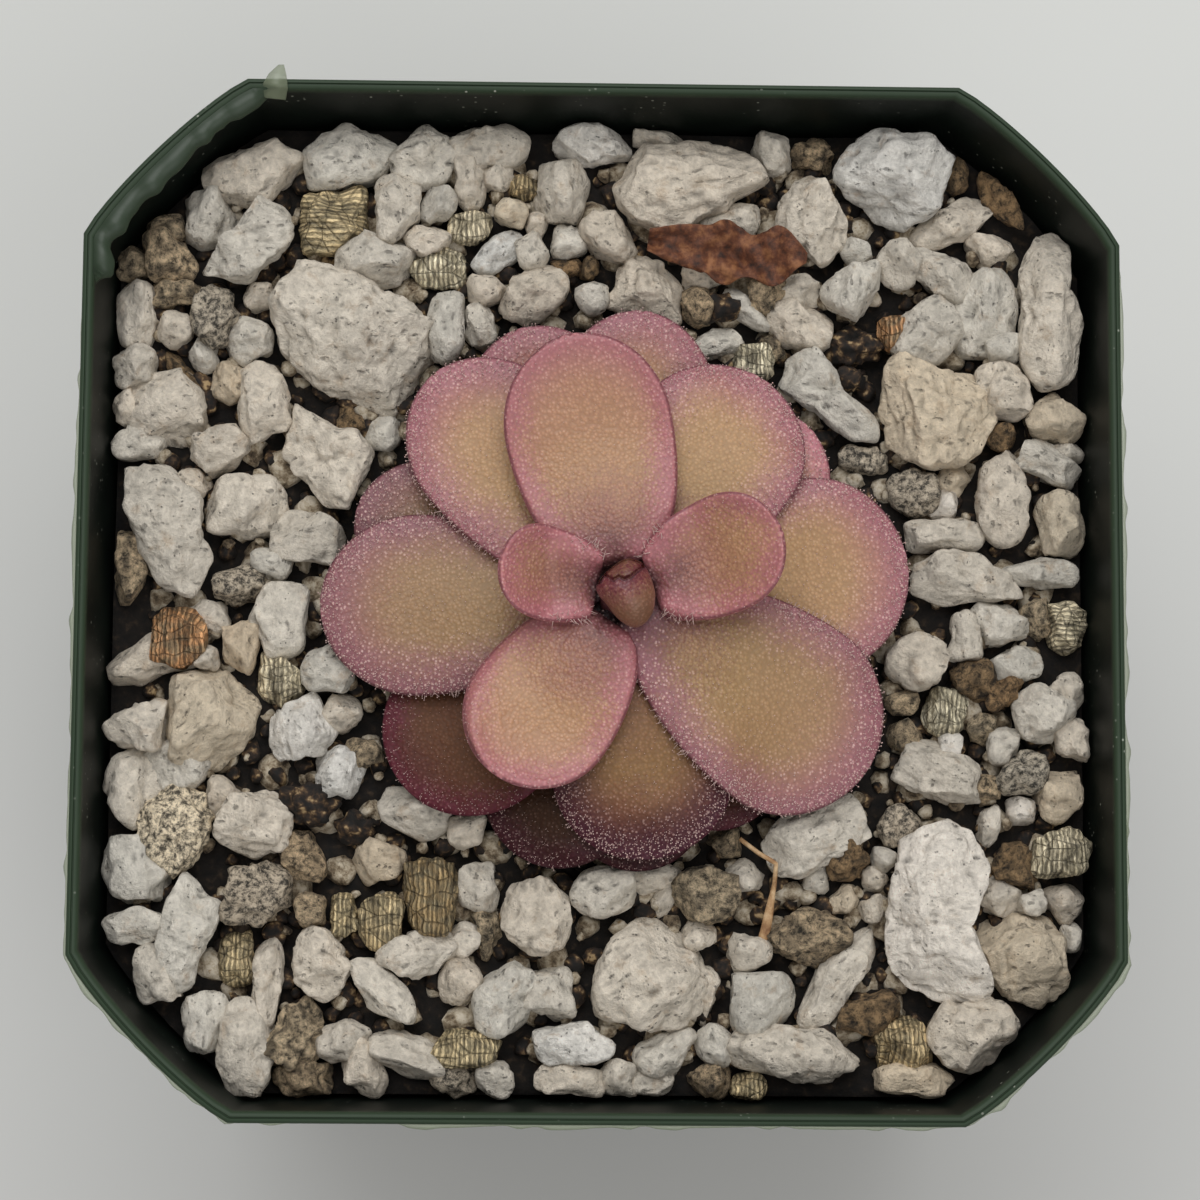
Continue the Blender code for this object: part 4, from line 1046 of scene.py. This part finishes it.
def leaf_mesh(name, node, seed):
    """Build one leaf over its CAD node."""
    direction, reach, width, widest, fullness, tone = leaves[node]
    start = INNER_START.get(node, LEAF_START)
    cad_start = CAD_INNER_START if node in INNER else CAD_START
    ahead = np.array((math.cos(math.radians(direction)), math.sin(math.radians(direction))))
    side = np.array((-ahead[1], ahead[0]))

    def in_plan(along, across):
        return PLANT + along[..., None] * ahead + across[..., None] * side

    u = 1 - (1 - np.linspace(0, 1, LEAF_ROWS)) ** 1.7
    v = np.sin(math.pi / 2 * np.linspace(-1, 1, LEAF_COLUMNS))
    half = half_width(u, width, widest, fullness)
    along = start + (reach - start) * u
    flat = in_plan(along[:, None], half[:, None] * v).reshape(-1, 2)
    look_u = np.clip((along - cad_start) / (reach - cad_start), 0.02, 0.965)
    look_half = np.minimum(half_width(look_u, width, widest, fullness, CAD_BASE_HALF), np.maximum(half, 0.5))
    look = in_plan((cad_start + (reach - cad_start) * look_u)[:, None], 0.93 * look_half[:, None] * v)
    tree = node_tree_of(node)
    top = even_out(np.array([[height_above(tree, *place) for place in row] for row in look]), 7)
    margin_u = np.linspace(0, 1, MARGIN_POINTS)
    margin_half = half_width(margin_u, width, widest, fullness)
    margin = np.vstack([in_plan(start + (reach - start) * margin_u, sign * margin_half) for sign in (-1, 1)])
    edge = np.sqrt(((flat[:, None, :] - margin[None, :, :]) ** 2).sum(axis=2).min(axis=1))
    edge[np.tile(np.abs(v) > 0.9999, LEAF_ROWS)] = 0
    crown = np.linalg.norm(flat - PLANT, axis=1)
    spots = at_height(flat, 5.0)
    wave = 0.14 * smooth_noise(spots, 3.8, seed) + 0.03 * smooth_noise(spots, 1.5, seed + 1)
    middle = top.ravel() - THICKNESS / 2 + wave * ease(edge, 0, 1.5)
    near_margin = 1 - ease(edge, 0, DROOP_ROOM)
    if node in INNER:
        middle += 0.2 * near_margin * ease(crown, 4, 8)
        middle -= 0.45 * (1 - ease(crown, start, start + 1.4))
    else:
        middle -= 0.22 * near_margin
    rounded = THICKNESS / 2 * np.sqrt(np.clip(1 - (1 - np.clip(edge / ROUNDING, 0, 1)) ** 2, 0, 1))
    points = np.vstack((at_height(flat, middle + rounded), at_height(flat, middle - rounded)))
    count = len(flat)
    faces = grid_faces(LEAF_ROWS, LEAF_COLUMNS) + grid_faces(LEAF_ROWS, LEAF_COLUMNS, count, True)
    faces += [(j + 1, j, j + count, j + 1 + count) for j in range(LEAF_COLUMNS - 1)]
    # The tone attribute carries the leaf's painted light and shade.
    return mesh_from_arrays(name, points, faces, {"edge_mm": np.tile(edge, 2), "crown_mm": np.tile(crown, 2),
                                                  "tone": np.full(2 * count, tone)}, weld=True)


# %% [markdown]
# Living leaf skin is a waxy film over wet, coloured tissue. It is tan near the crown, turns pink outwards
# and ends in a thin purple margin; at its base, and most in a ring round the bud, painted shade darkens it.
# Its surface is set with tiny glands, so it looks like orange peel and glistens, and the glands carry
# painted highlights and pale painted glints. Five versions are made: for the smooth inner leaves, the broad
# outer ones, the outer one that lies in the shade, the back ones that lie in painted shade, and the young
# leaves of the bud.

# %% how a leaf's skin is coloured
GLAND_SPACING_MM = 0.27
CELL_MM = 0.2
SKIN_REACH_MM = 22.0
LEAF_IOR = 1.42
LINE_AND_FOLD_SHADOW_COLOUR = "#4d1c2c"
CROWN_SHADE_COLOUR = "#1c0d0f"
GLAND_GLINT_COLOUR = "#dfc0b8"


def leaf_skin(name, stops, margin_colour, margin_mm, line_mm, line_strength, glint_stipple, roughness, coat,
              specular=0.5):
    """A leaf's finish: colours, margin, dark line, painted shade, and painted highlights and glints on its
    glands. colours from the crown outwards, its margin, its dark line and its pale glands.
    """
    material, add = new_material(name, Roughness=roughness, IOR=LEAF_IOR, Specular_IOR_Level=specular,
                                 Subsurface_Weight=0.1, Subsurface_Radius=(1.0, 0.45, 0.3),
                                 Subsurface_Scale=0.0006, Coat_Weight=coat, Coat_Roughness=0.3)
    place = add("TexCoord").outputs["Object"]
    edge, crown, tone = (add("Attribute", attribute_name=key).outputs["Fac"]
                         for key in ("edge_mm", "crown_mm", "tone"))
    broad = add("Math", add("TexNoise", place, 330.0, 4.0), 5.0, -2.5, operation="MULTIPLY_ADD")
    cells = add("TexNoise", place, 1000 / CELL_MM, 3.0, 0.65)
    grainy = add("Math", cells, 8.0, -4.0, operation="MULTIPLY_ADD")
    drift = add("Math", broad, grainy, operation="ADD")
    moved = add("Math", crown, drift, operation="ADD")
    colour = add("ValToRGB", add("Math", moved, SKIN_REACH_MM, operation="DIVIDE"), stops=stops)
    inward = add("Math", drift, 0.6, edge, operation="MULTIPLY_ADD")
    border = add("MapRange", inward, margin_mm, 0.0, 0.0, 0.95, interpolation_type="SMOOTHSTEP")
    off_line = add("Math", add("Math", edge, line_mm, operation="SUBTRACT"), operation="ABSOLUTE")
    # The dark line along the margin; on the bud it is the painted shadow of the fold.
    line_and_fold_shadow = add("MapRange", off_line, 0.15, 0.04, 0.0, line_strength)
    # A near-black ring round the bud is painted shade where the leaves meet the crown.
    crown_shade = add("MapRange", crown, 2.9, 2.1, 0.0, 0.92)
    for share, shade in ((border, margin_colour), (line_and_fold_shadow, LINE_AND_FOLD_SHADOW_COLOUR), (crown_shade, CROWN_SHADE_COLOUR)):
        colour = add("Mix", share, colour, shade, data_type="RGBA")
    glands = add("TexVoronoi", place, 1000 / GLAND_SPACING_MM)
    # Each gland is painted lighter at its middle, a painted highlight, and the leaf's tone makes all of it
    # lighter or darker as painted light and shade.
    painted_light = add("Math", add("MapRange", glands, 0.12, 0.65, 1.16, 0.88), tone, operation="MULTIPLY")
    fine = add("VectorMath", colour, painted_light, operation="SCALE")
    # Pale dots towards the margin are painted glints of the gland drops.
    strength = add("MapRange", glands, 0.38, 0.22, 0.0, glint_stipple)
    for factor in (add("MapRange", inward, 5.0, 0.5, 0.12, 1.0),
                   add("MapRange", add("SeparateColor", glands.outputs["Color"]), 0.1, 0.7)):
        strength = add("Math", strength, factor, operation="MULTIPLY")
    swell = add("TexNoise", place, 1700.0, 3.0)
    dress(material, add("Mix", strength, fine, GLAND_GLINT_COLOUR, data_type="RGBA"),
          add("Math", glands, -0.9, swell, operation="MULTIPLY_ADD"), 0.6, 0.09)
    return material


# %% skins of the leaves
# The first stop of each leaf skin is dark: painted shade at the base of the leaves by the crown.
inner_skin = leaf_skin("inner_leaf_skin", ((0.12, "#5a2f30"), (0.26, "#8f5f52"), (0.46, "#ab825f"),
                                           (0.68, "#ab7d63"), (0.9, "#a56e6a")),
                       "#a9686f", 2.9, 0.12, 0.5, 0.3, 0.45, 0.22)
outer_skin = leaf_skin("outer_leaf_skin", ((0.12, "#5a2f30"), (0.24, "#835847"), (0.42, "#a6845a"),
                                           (0.75, "#a98460"), (1.0, "#a36d66")),
                       "#a16873", 4.4, 0.05, 0.6, 0.7, 0.5, 0.15)
shaded_skin = leaf_skin("shaded_leaf_skin", ((0.12, "#5a2f30"), (0.3, "#7f5a45"), (0.55, "#85643f"),
                                             (0.72, "#77503a"), (0.95, "#5f3030")),
                        "#44192a", 4.6, 0.05, 0.6, 0.4, 0.5, 0.1, 0.25)
# Dark skin for the back leaves that lie in shade: painted shade.
shaded_back_skin = leaf_skin("shaded_back_leaf_skin", ((0.1, "#341b1b"), (0.5, "#573426"), (0.75, "#5c3a24"),
                                         (1.0, "#4b2020")),
                      "#5b2431", 2.6, 0.05, 0.4, 0.1, 0.55, 0.03, 0.25)

leaf_objects = {}
for index, node in enumerate(leaves):
    skin = (inner_skin if node in INNER else shaded_skin if node == "leaf_10"
            else shaded_back_skin if node in SHADED_BACK else outer_skin)
    slot = "inner_leaf" if node in INNER else "outer_leaf" if node in OUTER else "back_leaf"
    leaf_objects[node] = piece(leaf_mesh("blade_of_" + node, node, 700 + 5 * index), skin, slot, node)
print("leaf faces:", sum(len(item.data.polygons) for item in leaf_objects.values()))

# %% [markdown]
# In the middle of the rosette two young leaves are still folded. The front one is shaped like a small boat,
# with its margins rolled inwards along a dark red V, whose line is darkened as the painted shadow of the
# fold.
# It is a ball that is drawn out towards its tip and creased along that fold. The short stem below carries
# all the leaves.

# %% the bud
BUD_MIDDLE = np.array((1.65, -0.2, 68.75))
BUD_HALF_HEIGHT = 2.25
BUD_TONE = 0.7
BUD_OUTLINE = np.array(((-2.13, 0.35), (-1.8, 0.95), (-1.37, 1.45), (-0.35, 2.3), (0.35, 2.5), (1.25, 2.18),
                        (1.85, 1.17), (2.2, -0.05), (2.1, -1.27), (1.55, -2.2), (0.8, -2.6), (0.05, -2.35),
                        (-0.66, -1.75), (-1.37, -0.8), (-1.98, -0.15)))
BUD_FOLD = np.array(((-2.3, 0.35), (-1.8, 0.5), (-1.5, 1.05), (-1.2, 0.85), (-0.9, 0.55), (-0.5, 0.8),
                     (-0.1, 0.6), (0.35, 0.75), (0.8, 1.2), (1.25, 1.6), (1.75, 2.1)))


def distance_to_route(points, route):
    """Distance in plan from each point to an open route."""
    fine = resample(route, 0.05)
    return np.sqrt(((points[:, None, :2] - fine[None, :, :2]) ** 2).sum(axis=2).min(axis=1))


unit, bud_faces = ball(6)
bud_reach = plan_reach(BUD_OUTLINE, np.arctan2(unit[:, 1], unit[:, 0]))
bud_points = at_height(unit[:, :2] * bud_reach[:, None], BUD_HALF_HEIGHT * unit[:, 2])
behind = bud_points[:, 1] - np.interp(bud_points[:, 0], BUD_FOLD[:, 0], BUD_FOLD[:, 1])
upper_half = ease(unit[:, 2], 0.0, 0.3)
from_fold = distance_to_route(bud_points, BUD_FOLD)
bud_points[:, 2] -= 0.8 * ease(behind, -0.06, 0.16) * upper_half
fold = np.exp(-(from_fold / 0.13) ** 2) * upper_half
bud_points[:, 2] += (0.16 * fold - 0.45 * np.exp(-((behind - 0.2) / 0.14) ** 2)) * upper_half
bud_points[:, 2] += 0.05 * smooth_noise(bud_points + 20, 0.9, 77) * upper_half
# The bud's line is at full strength: painted shadow in its fold.
bud_skin = leaf_skin("young_leaf_skin", ((0.15, "#8c484e"), (0.3, "#985d54"), (0.5, "#976a51"),
                                         (0.8, "#8a614b")), "#78303c", 1.3, 0.05, 1.0, 0.1, 0.42, 0.2)
bud_mesh = mesh_from_arrays("folded_young_leaves", bud_points + BUD_MIDDLE, bud_faces, {
    "edge_mm": np.clip(0.05 + from_fold, 0, 2),
    "crown_mm": np.where(behind > 0, 12.0, 4.0 + 3.2 * np.clip(-behind, 0, 3)),
    "tone": np.full(len(unit), BUD_TONE)})
bud = piece(bud_mesh, bud_skin, "bud", "bud")

# %% the short stem
STEM_SIDES = 24
STEM_PROFILE = ((51.2, 0.7), (53, 1.3), (56, 1.7), (60, 1.9), (63, 1.95), (65, 1.8), (66.1, 1.2))

angles = np.linspace(0, 2 * math.pi, STEM_SIDES, endpoint=False)
circle = np.column_stack((np.cos(angles), np.sin(angles)))
stem_rings = [at_height(PLANT + radius * circle, height) for height, radius in STEM_PROFILE]
stem_material = noise_finish("fleshy_stem", 800.0, 2.0, 0.5, ((0.3, "#4d262c"), (0.7, "#6d4044")), 0, 0,
                             Roughness=0.5, IOR=LEAF_IOR)
piece(mesh_from_arrays("short_crown", *loft(stem_rings)), stem_material, "stem", "crown")

# %% [markdown]
# Short stalks, each with a drop of glue, stand all over the outer leaves. They are what traps insects, and
# they make the leaves glisten. They repeat by the thousand, so Geometry Nodes grow them: each is a
# three-sided stalk with an eight-sided drop, set square to the leaf and tilted a little. How many grow and
# how long they are is painted on the leaf as attributes. Where a leaf lies under another there are none.

# %% where hairs grow
UP = Vector((0, 0, 1))
CLEARANCE = 0.0004
FACES_UP = 0.15

cover_points, cover_faces = [], []
for item in (*leaf_objects.values(), bud):
    start = len(cover_points)
    cover_points += [v.co.copy() for v in item.data.vertices]
    cover_faces += [[start + index for index in p.vertices] for p in item.data.polygons]
cover_tree = BVHTree.FromPolygons(cover_points, cover_faces)


def glands_rule(density, margin_density, length, margin_length):
    """Drops that stand closer and taller towards a leaf's margin."""
    def rule(edge, crown):
        near = (1 - ease(edge, 0.2, 3.2)) ** 1.4
        amount = (density + (margin_density - density) * near) * ease(crown, 3, 14)
        amount *= 0.45 + 0.55 * ease(edge, 0.1, 0.5)
        return amount, length + (margin_length - length) * near ** 2
    return rule


def fringe_rule(density, length, limit):
    """Long hairs on a leaf's margin, from its base to a distance from the crown."""
    def rule(edge, crown):
        return density * (edge < 0.6) * (crown < limit), np.full(len(edge), length)
    return rule


def hair_ground(nodes, rule):
    """Join the upper faces of some leaves, with the density and the length of their hairs."""
    bm = bmesh.new()
    amount, size = [], []
    for node in nodes:
        mesh = leaf_objects[node].data
        edge, crown = (np.array([d.value for d in mesh.attributes[key].data])
                       for key in ("edge_mm", "crown_mm"))
        corners = [bm.verts.new(v.co) for v in mesh.vertices]
        for polygon in mesh.polygons:
            if polygon.normal.z > FACES_UP:
                bm.faces.new([corners[index] for index in polygon.vertices])
        density, length = rule(edge, crown)
        open_sky = [cover_tree.ray_cast(v.co + CLEARANCE * UP, UP)[0] is None for v in mesh.vertices]
        amount.append(density * np.array(open_sky))
        size.append(length)
    ground = bpy.data.meshes.new("hair_ground")
    bm.to_mesh(ground)
    bm.free()
    for key, arrays in (("hair_density", amount), ("hair_length", size)):
        values = np.concatenate(arrays).astype(np.float32)
        ground.attributes.new(key, "FLOAT", "POINT").data.foreach_set("value", values)
    return ground


# %% a geometry tree that grows gland hairs
hair_tree, add, given = scatter_tree("gland_hairs", Density=1.0e6, Length=MM, Lean=0.35, Drop=1.0, Seed=5,
                                     Finish=None)
per_area = add("GeometryNodeInputNamedAttribute", "hair_density", data_type="FLOAT")
density = add("Math", per_area, given["Density"], operation="MULTIPLY")
spread = add("GeometryNodeDistributePointsOnFaces", given["Geometry"], None, density, given["Seed"])
stalk = add("GeometryNodeMeshCone", 3, 1, 0.035, 0.075, 1.0, fill_type="NONE")
drop = add("GeometryNodeMeshUVSphere", 4, 2, 0.3)
raised = add("GeometryNodeTransform", drop, (0, 0, 1.0), None, given["Drop"])
whole = add("GeometryNodeJoinGeometry", stalk)
fill(hair_tree, whole.inputs[0], raised)
scale = add("GeometryNodeInputNamedAttribute", "hair_length", data_type="FLOAT")
for factor in (add("FunctionNodeRandomValue", 0.6, 1.3, None, given["Seed"]), given["Length"]):
    scale = add("Math", scale, factor, operation="MULTIPLY")
copies = add("GeometryNodeInstanceOnPoints", spread, None, whole, None, None,
             spread.outputs["Rotation"], scale)
back = add("Math", given["Lean"], -1.0, operation="MULTIPLY")
tilt = add("FunctionNodeRandomValue", back, given["Lean"], None, 4, data_type="FLOAT_VECTOR")
end_tree(add, add("GeometryNodeRotateInstances", copies, None, tilt), given["Finish"])

# %% [markdown]
# The stalks and drops are clear and wet. At this size they read as white glints with a trace of pink, so
# the finish is a glossy, slightly milky pink-white. Real ones are finer than the render can show, so these
# are drawn a little coarser.

# %% six sets of hairs
HAIRS = (
    ("outer_leaf_hairs", OUTER, glands_rule(2.2, 24.0, 0.14, 0.2), 0.35, 1.0, "outer_leaf", 21),
    ("back_leaf_hairs", LIGHT_BACK, glands_rule(8.0, 18.0, 0.16, 0.22), 0.35, 0.85, "back_leaf", 22),
    ("shaded_back_leaf_hairs", SHADED_BACK, glands_rule(2.0, 12.0, 0.13, 0.2), 0.35, 0.7, "back_leaf", 26),
    ("inner_leaf_hairs", INNER, glands_rule(2.0, 3.0, 0.1, 0.14), 0.35, 1.0, "inner_leaf", 23),
    ("leaf_base_hairs", INNER[:3], fringe_rule(13.0, 0.5, 5.6), 0.8, 0.1, "inner_leaf", 24),
    ("leaf_margin_hairs", OUTER[:3], fringe_rule(8.0, 0.4, 16.0), 0.6, 0.3, "outer_leaf", 25),
)

hair_material, _ = new_material("wet_gland_hair", Roughness=0.2, IOR=1.38, Base_Color="#e0c2bc",
                                Transmission_Weight=0.2)
for name, nodes, rule, lean, drop_size, slot, seed in HAIRS:
    grow_piece(name, hair_tree, hair_ground(nodes, rule), hair_material, slot, Lean=lean, Drop=drop_size,
               Seed=seed)

# %% [markdown]
# One old leaf has dried on the stones near the back wall, and a thin dry stalk lies in front of the
# rosette. Both follow their CAD nodes. The leaf is a crumpled sheet, the stalk a bent tube whose lower half
# is flat and broad.

# %% the dry stalk
STALK_ROUTE = ((10.4, -17.4), (11.8, -18.5), (13.0, -19.2), (12.95, -20.6), (12.7, -22.0), (12.35, -23.9),
               (11.9, -25.5))
STALK_HALF = 0.17
STALK_SIDES = 12

stalk_tree = node_tree_of("dry_stalk")
stalk_plan = resample(STALK_ROUTE, 0.35)
stalk_top = np.array([height_above(stalk_tree, x, y) for x, y in stalk_plan])
for _ in range(4):
    stalk_top = np.convolve(np.pad(stalk_top, 1, mode="edge"), (0.25, 0.5, 0.25), mode="valid")
stalk_share = np.linspace(0, 1, len(stalk_plan))
stalk_wide = STALK_HALF + 0.2 * ease(stalk_share, 0.45, 0.8) * ease(1 - stalk_share, 0, 0.1)
stalk_route = at_height(stalk_plan, stalk_top - 0.3)
angles = np.linspace(0, 2 * math.pi, STALK_SIDES, endpoint=False)[:, None]
stalk_rings = []
for k, (centre, wide) in enumerate(zip(stalk_route, stalk_wide)):
    ahead = stalk_route[min(k + 1, len(stalk_route) - 1)] - stalk_route[max(k - 1, 0)]
    ahead = ahead / np.linalg.norm(ahead)
    across = np.cross(ahead, (0, 0, 1))
    across = across / max(np.linalg.norm(across), 1e-6)
    stalk_rings.append(centre + wide * np.cos(angles) * across
                       + STALK_HALF * np.sin(angles) * np.cross(across, ahead))
stalk_material = noise_finish("dried_stalk_skin", 900.0, 6.0, 0.65,
                              ((0.34, "#7a5436"), (0.5, "#a8845d"), (0.66, "#cdb08a")), 0.8, 0.3,
                              Roughness=0.7)
stalk_mesh = mesh_from_arrays("dried_stalk", *loft(stalk_rings), weld=True)
piece(stalk_mesh, stalk_material, "dry_stalk", "dry_stalk")

# %% the dead leaf
DEAD_ROWS, DEAD_COLUMNS = 60, 22
DEAD_THICKNESS = 0.16
DEAD_TOP = 63.4

dead_tree = node_tree_of("dead_leaf")
dead_points = []
for share in np.arange(DEAD_ROWS) / (DEAD_ROWS - 1):
    middle = np.array((3.4 + 11.8 * share, 26.9 - 1.3 * share))
    breadth = 0.3 + 1.35 * math.sin(math.pi * min(1, 0.08 + 0.92 * share)) ** 0.7
    breadth += 1.1 * math.exp(-((share - 0.82) / 0.1) ** 2) + 0.7 * math.exp(-((share - 0.5) / 0.09) ** 2)
    for across in 2 * np.arange(DEAD_COLUMNS) / (DEAD_COLUMNS - 1) - 1:
        x, y = middle + (0.12 * across * breadth, across * breadth)
        top = height_above(dead_tree, np.clip(x, 4.6, 15.0), np.clip(y, 24.6, 28.0))
        dead_points.append((x, y, min(top, DEAD_TOP)))
dead_points = np.array(dead_points)
dead_grid = even_out(dead_points[:, 2].reshape(DEAD_ROWS, DEAD_COLUMNS), 6).ravel()
crumple = 1.0 * np.abs(smooth_noise(dead_points, 1.8, 91)) + 0.4 * smooth_noise(dead_points, 0.8, 92)
dead_points[:, 2] = dead_grid - 0.2 + crumple
count = len(dead_points)
corner_grid = np.arange(count).reshape(DEAD_ROWS, DEAD_COLUMNS)
rim = [*corner_grid[0], *corner_grid[1:, -1], *corner_grid[-1, -2::-1], *corner_grid[-2:0:-1, 0]]
dead_faces = grid_faces(DEAD_ROWS, DEAD_COLUMNS, 0, True) + grid_faces(DEAD_ROWS, DEAD_COLUMNS, count)
dead_faces += [(a, b, b + count, a + count) for a, b in zip(rim, rim[1:] + rim[:1])]
dead_skin = np.vstack((dead_points, dead_points - (0, 0, DEAD_THICKNESS)))
dead_mesh = mesh_from_arrays("crumpled_dead_leaf", dead_skin, dead_faces, weld=True)
dead_material = noise_finish("dried_leaf_skin", 900.0, 6.0, 0.65,
                             ((0.34, "#2b170f"), (0.5, "#633822"), (0.66, "#92623f")), 0.8, 0.3,
                             Roughness=0.7)
piece(dead_mesh, dead_material, "dead_leaf", "dead_leaf")
print("dead leaf faces:", len(dead_mesh.polygons))

# %% [markdown]
# The pot stands on a pale surface, painted a little lighter towards the back as painted light, under a wide,
# soft, overcast light that is a little stronger from the back. The camera looks almost straight down, about
# 24 cm above the rim, which is close enough for the pot's walls to show their depth.

# %% floor, light and camera
FLOOR_HALF = 500
FLOOR_LEVEL = -0.2
LIGHT_AIM = Vector((0, 0, 0.06))
LAMPS = (
    ("sky_window", (-0.05, 0.42, 0.75), 0.7, 4.6),
    ("front_fill", (0.25, -0.35, 0.65), 0.6, 1.4),
)
CAMERA_TILT = (6.87, -1.34, 0.375)

floor_material, add = new_material("pale_matt_board", Roughness=0.9)
# The board is painted lighter towards the back: painted light.
back_light_ramp = add("MapRange", add("SeparateXYZ", add("TexCoord").outputs["Object"]).outputs["Y"], -0.06, 0.06)
dress(floor_material, add("ValToRGB", back_light_ramp, stops=((0.0, "#cccdcc"), (1.0, "#d6d8d6"))))
corners = FLOOR_HALF * np.array(((-1, -1), (1, -1), (1, 1), (-1, 1)))
floor = new_object("board", mesh_from_arrays("board", at_height(corners, FLOOR_LEVEL), [(0, 1, 2, 3)]))
floor.data.materials.append(floor_material)

scene = bpy.context.scene
scene.world = bpy.data.worlds.new("overcast_sky")
scene.world.use_nodes = True
sky = scene.world.node_tree.nodes["Background"].inputs
sky["Color"].default_value = hex_colour("#f6f3ee")
sky["Strength"].default_value = 0.42

for name, place, size, energy in LAMPS:
    lamp = bpy.data.lights.new(name, "AREA")
    lamp.size = size
    lamp.energy = energy
    lamp_object = new_object(name, lamp)
    lamp_object.location = place
    lamp_object.rotation_euler = (LIGHT_AIM - Vector(place)).to_track_quat("-Z", "Y").to_euler()

camera_data = bpy.data.cameras.new("camera")
camera_data.lens = 100.2
camera_data.sensor_width = 36
scene.camera = new_object("camera", camera_data)
scene.camera.location = (-0.0055, -0.0294, 0.306)
scene.camera.rotation_euler = [math.radians(angle) for angle in CAMERA_TILT]
scene.view_settings.view_transform = "Standard"

# %% the size of the finished object
triangles = sum(len(p.vertices) - 2 for item in scene.objects if item.type == "MESH"
                and not item.hide_render for p in item.data.polygons)
print("triangles in all:", triangles)
